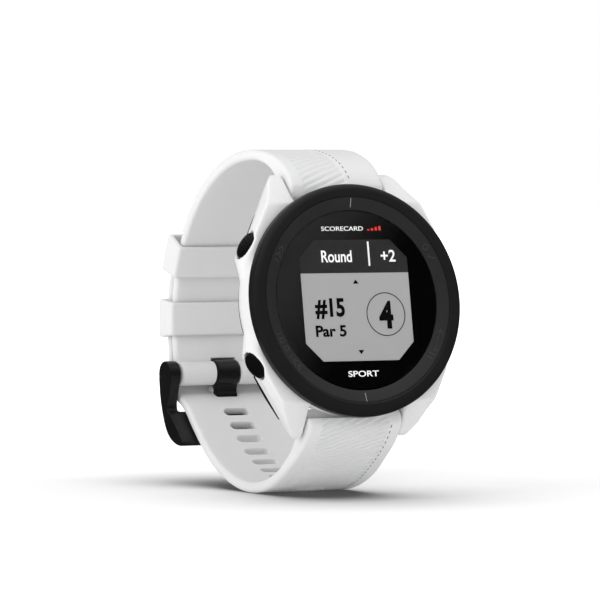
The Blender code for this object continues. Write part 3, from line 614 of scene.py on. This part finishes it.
def roll_rings(line):
    """Rings down the back of the buckle half and round the roll that holds the pin."""
    inset = line[-1][0] - PIN.x
    half = STRAP_THICKNESS / 2
    total = running_lengths(line)[-1]
    rings = []
    for station, along in zip(line, running_lengths(line)):
        to_pin = total - along
        inner = outer = half
        if to_pin < ROLL_RADIUS:
            reach = math.sqrt(ROLL_RADIUS ** 2 - to_pin ** 2)
            inner, outer = soft_max(half, reach + inset), soft_max(half, reach - inset)
        rings.append(strap_ring(station, 1, STRAP_HALF_WIDTH, inner, outer))
    turn = math.radians(line[-1][2])
    for angle in (12, 24, 35, 46, 57, 68, 78, 86):
        past = ROLL_RADIUS * math.sin(math.radians(angle))
        reach = ROLL_RADIUS * math.cos(math.radians(angle))
        place = (line[-1][0] + past * math.cos(turn), line[-1][1] + past * math.sin(turn), line[-1][2])
        rings.append(strap_ring(place, 1, STRAP_HALF_WIDTH, reach + inset, reach - inset))
    return rings


def make_short_strap():
    """The buckle half of the strap, in one piece from its bar to the roll round the pin."""
    front, back = short_strap_line()
    rings = front_half(front, 1, UPPER_GROOVES) + roll_rings(back)
    strap = lofted("short_strap", rings)
    half = TONGUE_WIDTH / 2 + GAP
    gap = lofted("tongue_gap", [
        [(x, *point) for point in arc(tuple(PIN), 3.05, 0, 351, 39)] for x in (-half, half)
    ])
    combine(strap, "DIFFERENCE", [gap])
    piece(strap, None, "white_silicone", replaced=("short_strap_front", "short_strap_back"))
    blend_at(strap)


def blend_at(obj):
    """Bakes a strap's placement into its mesh."""
    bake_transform(obj)


def tail_rings(line):
    """Rings from the lower flex line through the buckle to the rounded tip of the tail."""
    lengths = running_lengths(line)
    rings = []
    for station, along in zip(line, lengths):
        to_tip = lengths[-1] - along
        thick = STRAP_THICKNESS - (STRAP_THICKNESS - TAIL_THICKNESS) * (1 - smooth_step(to_tip, 21, 36))
        taper = 4.0 * (1 - math.sqrt(1 - (1 - to_tip / 4.0) ** 2)) if to_tip < 4.0 else 0
        rings.append(strap_ring(station, -1, STRAP_HALF_WIDTH - taper, thick / 2, thick / 2))
    return rings


def slot_cutter(station, reach):
    """A slot with soft lips on both faces of the strap."""
    rings = [(-reach - 0.5, 0.9), (-reach, 0.34), (-reach + 0.16, 0.12), (-reach + 0.4, 0)]
    rings += [(-out, grow) for out, grow in reversed(rings)]
    turn = math.radians(station[2])
    made = []
    for out, grow in rings:
        ring = []
        for x, along in racetrack(SLOT_WIDTH + grow, 1.7 + grow):
            depth = station[0] + along * math.cos(turn) - math.sin(turn) * out
            height = station[1] + along * math.sin(turn) + math.cos(turn) * out
            ring.append((x, depth, height))
        made.append(ring)
    return lofted("slot", made)


def tongue_slot():
    """The upright slot that the tongue goes down through."""
    across, deep = (TONGUE_WIDTH + 0.12) / 2, 1.3
    outline = rounded([(across, -deep), (across, deep), (-across, deep), (-across, -deep)], 0.6)
    middle = Vector((0, PIN.x + 0.35, PIN.y - 4.9))
    return prism("tongue_slot", outline, -3.0, 3.0, lambda u, v, height: Vector((u, v, height)) + middle)


def make_long_strap():
    """The long half of the strap, in one piece from its bar through the buckle to its tip."""
    front, back = long_strap_line()
    rings = front_half(front, -1, LOWER_GROOVES) + tail_rings(back)
    strap = lofted("long_strap", rings)
    inwards = reverse(front)
    slots = []
    for number in range(-6, 6):
        along = (number - SLOT_SHIFT) * SLOT_PITCH
        if number == TONGUE_SLOT:
            slots.append(tongue_slot())
            continue
        station = station_at(back, along) if along > 0 else station_at(inwards, -along)
        slots.append(slot_cutter(station, STRAP_THICKNESS / 2))
    corner = prism("corner", [(-12, -21.4), (0.5, -21.4), (0.5, -17), (-12, -17)], 0, 5.9, on_face)
    combine(strap, "DIFFERENCE", [*slots, corner], "MANIFOLD")
    piece(strap, None, "white_silicone", replaced=("long_strap_front", "long_strap_back"))
    blend_at(strap)


def make_stitch_line(name, line, side, places, body):
    """A row of short dark dashes on the strap's outside; places gives (across, along) for each."""
    bm = bmesh.new()
    for across, along in places:
        rows = []
        for lift in (-0.12, 0.015):
            ring = []
            for forward, sideways in racetrack(0.62, 0.24, 4):
                station = station_at(line, along + forward)
                out = front_half_thickness(along + forward) + lift
                ring.append(bm.verts.new((across + sideways, *beside(station, side * out))))
            rows.append(ring)
        join_rings(bm, rows[0], rows[1])
        bm.faces.new(rows[0])
        bm.faces.new(rows[1])
    piece(from_bmesh(name, bm), body, "stitch")


def make_keeper(name, middle_angle):
    """A loop round the strap: a squared sleeve with rounded corners and eased rims."""
    wall, half_angle, corner = 0.8, 6.1, 0.9
    inner = BACK_ARC_RADIUS - STRAP_THICKNESS / 2 - GAP
    outer = TAIL_ARC_RADIUS + TAIL_THICKNESS / 2 + GAP
    side = STRAP_HALF_WIDTH + GAP
    ease = 0.3

    def section(grow, round_by, angle):
        low, high, wide = inner - grow, outer + grow, side + grow * 1.25
        box = rounded([(wide, low), (wide, high), (-wide, high), (-wide, low)], round_by, 6)
        turn = math.radians(angle)
        return [(x, BACK_CENTRE.x + r * math.cos(turn), BACK_CENTRE.y + r * math.sin(turn)) for x, r in box]

    rim = math.degrees(ease / (inner + 2))
    start, end = middle_angle - half_angle, middle_angle + half_angle
    steps = [start + rim + (end - start - 2 * rim) * i / 10 for i in range(11)]
    outside = [(start, wall - ease), (start + rim * 0.3, wall - ease * 0.3)]
    outside += [(angle, wall) for angle in steps]
    outside += [(end - rim * 0.3, wall - ease * 0.3), (end, wall - ease)]
    inside = [(end, 0.12), (end - rim * 0.5, 0)] + [(angle, 0) for angle in reversed(steps)]
    inside += [(start + rim * 0.5, 0), (start, 0.12)]
    bm = bmesh.new()
    rings = []
    for angle, grow in outside:
        rings.append([bm.verts.new(point) for point in section(grow, corner, angle)])
    for angle, grow in inside:
        rings.append([bm.verts.new(point) for point in section(grow, 0.4, angle)])
    for a, b in zip(rings, rings[1:] + rings[:1]):
        join_rings(bm, a, b)
    piece(from_bmesh(name + "_loop", bm), name, "white_silicone", replaced=(name,), angle=50)


# Case


def make_lug(right, up):
    """One strap lug, where its outline from the front meets its outline from the side."""
    front = [
        (10.15, 15.0), (10.15, 25.2), (13.1, 24.6), (14.4, 21.6), (16.9, 17.4), (19.2, 12.9), (19.4, 9.6),
        (17.6, 8.0), (16.4, 12.0),
    ]
    side = [
        (2.05, 6.0), (2.05, 18.6), (3.3, 20.0), (6.3, 24.0), (7.4, 24.8), (8.4, 24.4), (9.3, 22.6),
        (9.3, 6.0),
    ]
    lug = prism("lug", [(x * right, z * up) for x, z in front], -2, 14, on_face)
    profile = prism("lug_profile", [(y, z * up) for y, z in side], -30, 30, on_side)
    return combine(lug, "INTERSECT", [profile])


def lug_chamfer(right, up):
    """A slanted block that takes off a lug's rear outer corner, from its middle depth backwards."""
    to_back, to_tip = math.radians(20.4), math.radians(24.5 if up > 0 else 27.3) * up
    block = prism("chamfer", [(-12, -8.5), (12, -8.5), (12, 8.5), (-12, 8.5)], 0, 5, on_side)
    aside = Matrix.Rotation(to_back if right > 0 else math.pi - to_back, 4, "Z")
    turn = aside @ Matrix.Rotation(-to_tip, 4, "Y")
    block.data.transform(Matrix.Translation((17.0 * right, 4.9, 17.25 * up)) @ turn)
    return block


def make_lug_pad(right, up):
    """The black rear face of a lug, which carries on from the rear cover."""
    outline = arc((0, 0), 20.0, 34, 57, 10)
    outline += [(10.5, 17.3), (10.5, 20.8), (13.0, 20.8), (15.55, 16.7), (17.55, 12.7)]
    side, level = ("right" if right > 0 else "left"), ("upper" if up > 0 else "lower")
    points = [(x * right, z * up) for x, z in rounded(outline, 0.15, 2)]
    top = 10.3 if up < 0 else 9.75
    piece(prism(f"rear_pad_{level}_{side}", points, 9.38, top, on_face), "case", "black_polymer")


def strap_recess(up):
    """The hollow between two lugs that the strap's round end turns in."""
    radius = BARREL_RADIUS + 0.35
    middle = (BAR_DEPTH, BAR_HEIGHT * up)
    hollow = arc(middle, radius, -180 * up, 0, 24)
    front, back = BAR_DEPTH - radius, BAR_DEPTH + radius
    hollow += [(back + 3, 24 * up), (back, 28 * up), (front, 28 * up)]
    return prism("recess", hollow, -10.15, 10.15, on_side)


def spun_out(name, profile, angle, segments=48):
    """A turned solid whose axis points out of the case at that clock angle; heights are from the axis."""
    solid = turned(name, profile, segments)
    turn = Matrix.Rotation(math.pi / 2 - math.radians(angle), 4, "Y") @ Matrix.Rotation(math.pi / 2, 4, "X")
    solid.data.transform(Matrix.Translation((0, CASE_DEPTH_MIDDLE, 0)) @ turn)
    return solid


def make_collar(angle):
    """The boss round a button at that clock angle, running out wide along the case's edge."""
    turn = math.radians(angle)
    outwards = Vector((math.cos(turn), 0, math.sin(turn)))
    sideways = Vector((-outwards.z, 0, outwards.x))
    around = [2 * math.pi * i / 48 for i in range(48)]
    sizes = [
        (18.0, 8.0, 3.4), (20.5, 6.5, 3.4), (21.4, 5.2, 3.5), (22.2, 4.1, 3.55), (22.6, 3.6, 3.5),
        (22.75, 3.35, 3.35),
    ]
    rings = []
    for height, wide, deep in sizes:
        flat = [outwards * height + sideways * wide * math.cos(a) for a in around]
        rings.append([(p.x, CASE_DEPTH_MIDDLE + deep * math.sin(a), p.z) for p, a in zip(flat, around)])
    return lofted("collar", rings)


def make_case():
    """The white case: a turned ring with four lugs, its edges softened."""
    profile = rounded([
        (16.2, 2.35), (18.6, 2.35), (18.6, 2.05), (21.05, 2.05), (21.4, 2.5), (21.4, 6.2, 1.2),
        (20.4, 8.4, 1), (19.9, 9.3), (18.0, 9.3), (18.0, 8.7), (17.0, 8.7), (17.0, 3.1), (16.2, 3.1),
    ], 0.3, 3)
    case = turned("case_shell", profile, 160)
    collars = [make_collar(angle) for angle in BUTTON_ANGLES.values()]
    combine(case, "UNION", [make_lug(right, up) for right in (1, -1) for up in (1, -1)] + collars)
    bore = [(0, 15.5), (1.2, 15.5), (1.2, 18.0), (2.1, 18.0), (2.1, 19.6), (2.9, 19.6), (2.9, 27), (0, 27)]
    cuts = [spun_out("bore", bore, angle) for angle in BUTTON_ANGLES.values()]
    chamfers = [lug_chamfer(right, up) for right in (1, -1) for up in (1, -1)]
    combine(case, "DIFFERENCE", cuts + chamfers + [strap_recess(1), strap_recess(-1)])
    softened(case, 0.24, 10)
    piece(case, "case", "white_polymer", replaced=("case_body",), angle=60)
    for up in (1, -1):
        for right in (1, -1):
            make_lug_pad(right, up)


def make_bezel():
    """The black bezel: a raised outer ring with a sloping label ring inside it."""
    outer = rounded([
        (19.25, -0.72), (19.55, -0.9), (20.9, -0.9), (21.55, -0.6), (21.85, 0.0), (21.85, 1.55),
        (21.65, 1.75), (18.3, 1.75, 0), (18.3, 0.4, 0), (19.25, -0.2, 0),
    ], 0.35, 6)
    piece(turned("bezel_ring", outer, 256), "case", "bezel_polymer", ("bezel",))
    label = [(16.9, 0.0, 0.12), (19.1, -0.66, 0.1), (19.25, -0.6, 0), (19.25, 0.2, 0), (16.9, 0.5, 0)]
    piece(turned("bezel_label_ring", rounded(label, 0.1), 256), "case", "label_ring")


def label_depth(radius):
    """The depth of the label ring's slope at that radius."""
    return -0.02 - 0.66 * (radius - 16.9) / 2.2


def ring_stroke(bm, path, middle, width):
    """A flat raised stroke on the label ring along (along the ring, outwards) points about its middle."""
    spots = []
    for along, out in path:
        radius = RING_MIDDLE + out
        turn = math.radians(middle) - along / RING_MIDDLE
        spots.append(Vector((radius * math.cos(turn), label_depth(radius), radius * math.sin(turn))))
    for a, b in zip(spots, spots[1:]):
        direction = (b - a).normalized()
        beside_it = direction.cross(Vector((0, -1, 0))).normalized() * width / 2
        ends = (a - direction * width / 2, b + direction * width / 2)
        low = [bm.verts.new(p + q + Vector((0, 0.08, 0))) for p, q in zip(
            (ends[0], ends[1], ends[1], ends[0]), (beside_it, beside_it, -beside_it, -beside_it))]
        top = [bm.verts.new(v.co + Vector((0, -0.12, 0))) for v in low]
        join_rings(bm, low, top)
        bm.faces.new(low)
        bm.faces.new(top)


def chevron(shift, up):
    """A small arrow head across the ring, pointing along it."""
    return [(shift - 0.45 * up, -0.55), (shift + 0.45 * up, 0), (shift - 0.45 * up, 0.55)]


def circle_path(shift, radius):
    return [(shift + x, y) for x, y in arc((0, 0), radius, 0, 360, 14)]


def make_bezel_marks():
    """Generic button symbols raised on the label ring, and the two light index lines."""
    marks = {
        150: [chevron(0.9, 1), chevron(-0.4, 1), [(-1.6, -0.5), (-1.6, 0.5)]],
        211: [chevron(-3.6, 1), chevron(-2.3, 1), [(-1.1, -0.5), (-1.1, 0.5)], circle_path(0.6, 0.5),
              [(1.9, -0.5), (1.9, 0.5), (2.7, 0.5), (2.7, -0.5), (1.9, -0.5)], [(3.6, -0.5), (3.6, 0.5)]],
        29.5: [circle_path(-1.0, 0.5), [(0.3, 0.0), (0.8, -0.5), (1.7, 0.55)]],
        331: [[(-2.3, -0.55), (-3.2, 0), (-2.3, 0.55)], [(-3.2, 0), (0.9, 0), (0.9, 0.55)],
              [(1.9, -0.5), (1.9, 0.5)], [(2.8, -0.5), (2.8, 0.5)]],
    }
    bm = bmesh.new()
    for middle, paths in marks.items():
        for path in paths:
            ring_stroke(bm, path, middle, 0.17)
    piece(from_bmesh("bezel_symbols", bm), "case", "label_marks")
    bm = bmesh.new()
    for middle in (90, 270):
        ring_stroke(bm, [(0, -0.6), (0, 0.95)], middle, 0.14)
    piece(from_bmesh("bezel_index_lines", bm), "case", "tick_marks")


def make_back_cover():
    """The dark rear cover with its screw seats and the charging recess."""
    profile = [(0, 9.6, 0), (19.6, 9.6, 0.1), (19.6, 10.2, 0.25), (19.3, 10.6, 0.25), (0, 10.6, 0)]
    cover = turned("rear_cover", rounded(profile, 0.2, 4), 192)
    cuts = [prism("port", racetrack(9.0, 3.4, 16), 9.95, 11.5, lambda u, v, y: (u, y, PORT_HEIGHT + v))]
    reach = SCREW_RADIUS * math.sqrt(0.5)
    seat = [(0, 9), (0.7, 9), (0.7, 10.0), (0.95, 10.0), (0.95, 11), (0, 11)]
    for x in (-reach, reach):
        for z in (-reach, reach):
            cuts.append(turned("seat", seat, 40, (x, z)))
    for number in range(4):
        place = ((number - 1.5) * CONTACT_PITCH, PORT_HEIGHT)
        cuts.append(turned("contact_hole", [(0, 9), (0.7, 9), (0.7, 11), (0, 11)], 32, place))
    combine(cover, "DIFFERENCE", cuts)
    piece(cover, "case", "black_polymer", replaced=("back_cover",))


def make_screws_and_contacts():
    """Cross-slotted screw heads and domed gold contacts, finer than the model's."""
    reach = SCREW_RADIUS * math.sqrt(0.5)
    places = [(x * reach, z * reach) for x in (1, -1) for z in (1, -1)]
    for number, (x, z) in enumerate(places, 1):
        profile = [(0, 6.3, 0), (0.4, 6.3), (0.4, 10.3, 0), (0.68, 10.3), (0.68, 10.6), (0, 10.6, 0)]
        screw = turned(f"cover_screw_{number}", rounded(profile, 0.1, 3), 32)
        slots = [
            prism("drive", [(-w, -h), (w, -h), (w, h), (-w, h)], 10.4, 11, on_face)
            for w, h in ((0.45, 0.08), (0.08, 0.45))
        ]
        combine(screw, "DIFFERENCE", slots)
        screw.data.transform(Matrix.Translation((x, 0, z)))
        piece(screw, "case", "steel", replaced=(f"back_screw_{number}",))
    for number in range(1, 5):
        profile = [(0, 9.5), (0.45, 9.5), (0.45, 10.0), (0.38, 10.07), (0.2, 10.1), (0, 10.1)]
        place = ((number - 2.5) * CONTACT_PITCH, PORT_HEIGHT)
        contact = turned(f"contact_{number}", profile, 32, place)
        piece(contact, "case", "gold_plate", replaced=(f"charge_contact_{number}",))


# Lens and display


def face_plate(name, outline, material, front=GLYPH_FRONT, thickness=GLYPH_THICKNESS):
    """A flat layer of the display or of its markings."""
    plate = prism(name, outline, front, front + thickness, on_face)
    piece(plate, "case", material, angle=30)


def make_lens():
    """A clear cover over a black print with a painted sheen towards its upper left, on the lens's body."""
    profile = [(0, 0.0, 0), (LENS_RADIUS, 0.0, 0.1), (LENS_RADIUS, 0.12, 0), (0, 0.12, 0)]
    glass = turned("lens_cover", rounded(profile, 0.1, 4), 192)
    piece(glass, "case", "lens_glass", replaced=("lens",))
    edge = LENS_RADIUS - 0.05
    body = [(0, 0.2), (edge, 0.2), (edge, 0.55), (18.0, 0.55), (18.0, 1.3), (0, 1.3)]
    # The print's colour holds a painted sheen, lifting to dark grey towards the upper left
    piece(turned("lens_print", body, 192), "case", "lens_print")


def band_of_octagon(low, high):
    """The part of the display's outline between two heights."""
    half, short = SCREEN_HALF, SCREEN_HALF - SCREEN_CORNER

    def reach(height):
        return half - max(0, abs(height) - short)

    heights = sorted({low, high, *[h for h in (-short, short) if low < h < high]})
    right = [(reach(h), h) for h in heights]
    return right + [(-x, h) for x, h in reversed(right)]


def words(name, text, left, base, height, width, material, weight):
    """Plain lettering of a given capital height and overall width on the display."""
    curve = bpy.data.curves.new(name, "FONT")
    curve.body = text
    curve.offset = weight
    guide = link(name, curve)
    graph = bpy.context.evaluated_depsgraph_get()
    flat = bpy.data.meshes.new_from_object(guide.evaluated_get(graph))
    bpy.data.objects.remove(guide)
    low = [min(v.co[i] for v in flat.vertices) for i in (0, 1)]
    high = [max(v.co[i] for v in flat.vertices) for i in (0, 1)]
    tall = 0.729 + 2 * weight
    scale_x, scale_y = width / (high[0] - low[0]), height / tall
    bm = bmesh.new()
    bm.from_mesh(flat)
    bmesh.ops.remove_doubles(bm, verts=bm.verts, dist=1e-5)
    bmesh.ops.solidify(bm, geom=bm.faces, thickness=0.001)
    for vert in bm.verts:
        x, y, z = vert.co
        raised = GLYPH_FRONT + (GLYPH_THICKNESS if abs(z) <= 1e-6 else 0)
        vert.co = (left + (x - low[0]) * scale_x, raised, base + (y + weight) * scale_y)
    piece(from_bmesh(name, bm), "case", material, angle=30)


def triangle(name, x, z, up):
    """A small arrow head that points up or down."""
    base = z - 0.36 * up
    face_plate(name, [(x - 0.62, base), (x + 0.62, base), (x, z + 0.4 * up)], "glyph_black")


def upright_bar(left, base, wide, tall):
    return [(left, base), (left + wide, base), (left + wide, base + tall), (left, base + tall)]


def make_display():
    """The display's face: a dark header over a grey field with plain golf wording."""
    panel = (PANEL_FRONT, PANEL_THICKNESS)
    face_plate("display_header", band_of_octagon(HEADER_BASE, SCREEN_HALF), "display_dark", *panel)
    face_plate("display_field", band_of_octagon(-SCREEN_HALF, HEADER_BASE), "display", *panel)
    words("header_word", "Round", -6.75, 7.15, 2.35, 6.4, "glyph_white", 0.015)
    words("header_score", "+2", 5.8, 7.15, 2.35, 3.1, "glyph_white", 0.015)
    face_plate("header_divider", upright_bar(3.1, 6.4, 0.35, 4.6), "glyph_white")
    words("hole_number", "#15", -8.9, -3.05, 3.7, 6.2, "glyph_black", 0.035)
    words("par_line", "Par 5", -9.1, -6.75, 2.25, 6.4, "glyph_black", 0.03)
    words("stroke_number", "4", 4.45, -5.45, 5.5, 3.0, "glyph_black", 0.04)
    back = GLYPH_FRONT + GLYPH_THICKNESS
    profile = [(3.93, GLYPH_FRONT), (4.1, GLYPH_FRONT), (4.1, back), (3.93, back)]
    ring = turned("stroke_ring", profile, 96, (5.93, -2.72))
    piece(ring, "case", "glyph_black", angle=30)
    triangle("up_arrow", 0.05, 3.45, 1)
    triangle("down_arrow", 0.1, -9.7, -1)
    words("top_line", "SCORECARD", -6.3, 13.05, 0.85, 8.8, "glyph_white", 0.005)
    for number in range(4):
        bar = upright_bar(3.4 + number * 0.8, 13.05, 0.45, 0.25 + number * 0.2)
        face_plate(f"signal_bar_{number}", bar, "glyph_red")
    words("bottom_line", "SPORT", -3.0, -14.3, 1.15, 6.4, "glyph_white", 0.012)


# Buttons


def make_button(side, angle):
    """A domed cap on its stem. The upper left cap has fine ridges for grip."""
    profile = [
        (0, 15.8, 0), (0.9, 15.8, 0.05), (0.9, 16.15, 0), (0.6, 16.15, 0), (0.6, 16.6, 0), (0.9, 16.6, 0),
        (0.9, 20.4, 0), (BUTTON_RADIUS, 20.4, 0.1), (BUTTON_RADIUS, 22.7, 0.35),
        (BUTTON_RADIUS - 0.35, 23.05, 0.3), (0, CAP_TOP, 0),
    ]
    shape = rounded(profile, 0.1, 4)[:-1]
    dome = [(r, CAP_TOP - 0.55 * (r / 2.1) ** 2) for r in (1.9, 1.6, 1.3, 1.0, 0.7, 0.4, 0.2)]
    cap = spun_out(f"button_cap_{side}", [*shape, *dome, (0, CAP_TOP)], angle, 64)
    if side == "up":
        ridge_cap(cap, angle)
    piece(cap, f"button_{side}", "button_polymer", (f"button_{side}",), 45)


def ridge_cap(cap, angle):
    """Presses slanted grooves into a cap's dome."""
    outwards = Vector((math.cos(math.radians(angle)), 0, math.sin(math.radians(angle))))
    sideways = Vector((-outwards.z, 0, outwards.x))
    divide = bmesh.new()
    divide.from_mesh(cap.data)
    domed = [face for face in divide.faces if face.calc_center_median().dot(outwards) > CAP_TOP - 0.65]
    edges = {edge for face in domed for edge in face.edges}
    bmesh.ops.subdivide_edges(divide, edges=list(edges), cuts=2, use_grid_fill=True)
    divide.to_mesh(cap.data)
    divide.free()
    for vert in cap.data.vertices:
        out = vert.co.dot(outwards)
        around = vert.co - outwards * out - Vector((0, CASE_DEPTH_MIDDLE, 0))
        if out > CAP_TOP - 0.7 and around.length < 2.15:
            phase = (around.dot(sideways) * 0.8 + around.y * 0.6) / 0.62
            ease = 1 - smooth_step(around.length, 1.7, 2.15)
            vert.co -= outwards * 0.14 * (0.5 + 0.5 * math.cos(2 * math.pi * phase)) ** 2 * ease


# Buckle


def smooth_outline(points, rounds=3):
    """A closed outline with its corners cut again and again until it runs smoothly."""
    for _ in range(rounds):
        cut = []
        for a, b in zip(points, points[1:] + points[:1]):
            a, b = Vector(a), Vector(b)
            cut += [tuple(a * 0.75 + b * 0.25), tuple(a * 0.25 + b * 0.75)]
        points = cut
    return points


def frame_outline():
    """The buckle's arm from the side: a round eye at the pin, a waist, and a foot along the strap."""
    back = long_strap_line()[1]
    beside_strap = STRAP_THICKNESS / 2 + 0.35
    foot = [beside(station_at(back, along), -beside_strap) for along in (11.5, 9.0, 6.5, 4.2)]
    eye = arc(tuple(PIN), 2.6, 10, 205, 12)
    waist = [(54.9, -8.6), (56.0, -10.4), (56.9, -12.3), (56.9, -13.5)]
    outer_side = [
        (50.9, -21.2), (53.8, -20.7), (56.4, -19.2), (58.0, -17.2), (58.9, -14.4), (59.5, -11.0),
        (59.5, -8.4),
    ]
    return eye + waist + foot + outer_side


def make_buckle():
    """The frame with its broad cross bar and the tongue, both of satin black plastic."""
    buckle = prism("buckle", smooth_outline(frame_outline(), 2), -ARM_OUTSIDE, ARM_OUTSIDE, on_side)
    opening = [(49, -13.8), (63, -13.8), (63, -0.8), (49, -0.8)]
    window = prism("window", opening, -ARM_INSIDE, ARM_INSIDE, on_side)
    hollow = [(55.3, -15.9), (64, -15.9), (64, -11.9), (55.3, -11.9)]
    notch = prism("notch", hollow, -SLOT_WIDTH / 2, SLOT_WIDTH / 2, on_side)
    combine(buckle, "DIFFERENCE", [window, notch])
    softened(buckle, 0.17, 8)
    piece(buckle, "buckle_frame", "black_polymer", replaced=("buckle_frame",), angle=60)
    tongue = prism("tongue", tongue_outline(), -TONGUE_WIDTH / 2, TONGUE_WIDTH / 2, on_side)
    eye = prism("eye", arc(tuple(PIN), 1.05, 0, 350, 35), -4, 4, on_side)
    combine(tongue, "DIFFERENCE", [eye])
    softened(tongue, 0.14, 6)
    piece(tongue, "buckle_tongue", "black_polymer", replaced=("buckle_tongue",), angle=60)


def tongue_outline():
    """The tongue from the side: a round eye on the pin and a shank down through the strap."""
    eye = arc((0, 0), 2.65, -68, 248, 40)
    shank = [(-0.6, -3.9), (-0.6, -7.6), (-0.3, -8.3), (0.9, -8.3), (1.25, -7.6), (1.25, -4.6), (0.7, -3.4)]
    shank = rounded(shank, 0.25, 4)
    return [(PIN.x + y, PIN.y + z) for y, z in eye + shank]


def finish_kept_nodes():
    """Gives every model node that still shows the material of its slot."""
    slots = {part["node"]: part["material_slot"] for part in frame["record"]["subparts"]}
    for name, obj in frame["nodes"].items():
        for place in obj.material_slots:
            place.material = MATERIALS[slots[name]]


# Studio


def make_floor():
    """A pale floor with a painted contact shadow: its colour seen by the camera is darkened where the watch
    stands on it, and it is brighter further away.
    """
    bm = bmesh.new()
    bmesh.ops.create_grid(bm, x_segments=2, y_segments=2, size=3.0)
    floor = from_bmesh("floor", bm)
    material, nodes, links, shader = shader_material("floor")
    # Painted contact shadow: the camera sees the floor's colour darkened by how closely the watch covers it
    closeness = nodes.new("ShaderNodeAmbientOcclusion")
    closeness.samples = 16
    set_inputs(closeness, {"Distance": 0.034})
    tone = ranged(nodes, links, closeness.outputs["AO"], 0.33, 0.96, 0.04, 0.9)
    kind = nodes.new("ShaderNodeLightPath")
    painted_shadow_for_camera = nodes.new("ShaderNodeMix")
    set_inputs(painted_shadow_for_camera, {"A": 0.94})
    links.new(kind.outputs["Is Camera Ray"], painted_shadow_for_camera.inputs["Factor"])
    links.new(tone, painted_shadow_for_camera.inputs["B"])
    links.new(painted_shadow_for_camera.outputs["Result"], shader.inputs["Base Color"])
    place = nodes.new("ShaderNodeTexCoord")
    distance = nodes.new("ShaderNodeVectorMath")
    distance.operation = "LENGTH"
    links.new(place.outputs["Object"], distance.inputs[0])
    glow = ranged(nodes, links, distance.outputs["Value"], 0.05, 0.4, 0.06, 0.7)
    set_inputs(shader, {"Roughness": 0.8, "Specular IOR Level": 0, "Emission Color": (1, 1, 1, 1)})
    links.new(glow, shader.inputs["Emission Strength"])
    floor.data.materials.append(material)
    floor.visible_glossy = False


def area_light(name, location, aim, size, power):
    light = bpy.data.lights.new(name, "AREA")
    light.size = size
    light.energy = power
    obj = link(name, light)
    obj.location = location
    obj.rotation_euler = (Vector(aim) - Vector(location)).to_track_quat("-Z", "Y").to_euler()
    return obj


def studio_world():
    """White to the eye, a soft even light on matt surfaces and a dim room in glossy ones."""
    world = bpy.data.worlds.new("studio")
    bpy.context.scene.world = world
    world.use_nodes = True
    nodes, links = world.node_tree.nodes, world.node_tree.links
    place = nodes.new("ShaderNodeTexCoord")
    split = nodes.new("ShaderNodeSeparateXYZ")
    links.new(place.outputs["Generated"], split.inputs["Vector"])
    room = ranged(nodes, links, split.outputs["Z"], 0.33, 0.95, 0.012, 1.0, "SMOOTHSTEP")
    kind = nodes.new("ShaderNodeLightPath")
    strength = AMBIENT
    for is_kind, value in (("Is Glossy Ray", room), ("Is Camera Ray", 1.0)):
        choose = nodes.new("ShaderNodeMix")
        links.new(kind.outputs[is_kind], choose.inputs["Factor"])
        for name, given in (("A", strength), ("B", value)):
            if isinstance(given, float):
                choose.inputs[name].default_value = given
            else:
                links.new(given, choose.inputs[name])
        strength = choose.outputs["Result"]
    background = nodes["Background"]
    set_inputs(background, {"Color": (1, 1, 1, 1)})
    links.new(strength, background.inputs["Strength"])


def make_light():
    """Soft boxes overhead and to the left."""
    studio_world()
    middle = (0, 0, 0.03)
    area_light("overhead", (0.05, 0.1, 0.8), middle, 0.7, 0.2)
    area_light("left", (-0.6, -0.1, 0.3), middle, 0.4, 1.2).visible_glossy = False
    bpy.context.scene.view_settings.view_transform = "Standard"


def make_camera():
    data = bpy.data.cameras.new("camera")
    data.lens = LENS_LENGTH
    data.sensor_width = 36
    data.clip_start, data.clip_end = 0.05, 20
    camera = link("camera", data)
    level = Vector((math.sin(VIEW_TURN), math.cos(VIEW_TURN), 0))
    ahead = level * math.cos(VIEW_RISE) - Vector((0, 0, math.sin(VIEW_RISE)))
    to_right = Vector((level.y, -level.x, 0))
    camera.location = WATCH.translation - (ahead * VIEW_DISTANCE + to_right * AIM_LEFT_OF_LENS) * MM
    camera.rotation_euler = ahead.to_track_quat("-Z", "Y").to_euler()
    bpy.context.scene.camera = camera


make_case()
make_bezel()
make_bezel_marks()
make_back_cover()
make_screws_and_contacts()
make_lens()
make_display()
for button_side, button_angle in BUTTON_ANGLES.items():
    make_button(button_side, button_angle)
make_short_strap()
make_long_strap()
upper_dashes = [(2.95 - 0.05 * along, along) for along in (0.7 + DASH_PITCH * i for i in range(18))]
lower_dashes = [(7.5, DASH_PITCH * i - 0.45) for i in range(27)]
make_stitch_line("upper_stitches", short_strap_line()[0], 1, upper_dashes, "short_strap_front")
make_stitch_line("lower_stitches", long_strap_line()[0], -1, lower_dashes, "long_strap_front")
for keeper, keeper_angle in KEEPER_ANGLES.items():
    make_keeper(keeper, keeper_angle)
make_buckle()
finish_kept_nodes()
make_floor()
make_light()
make_camera()
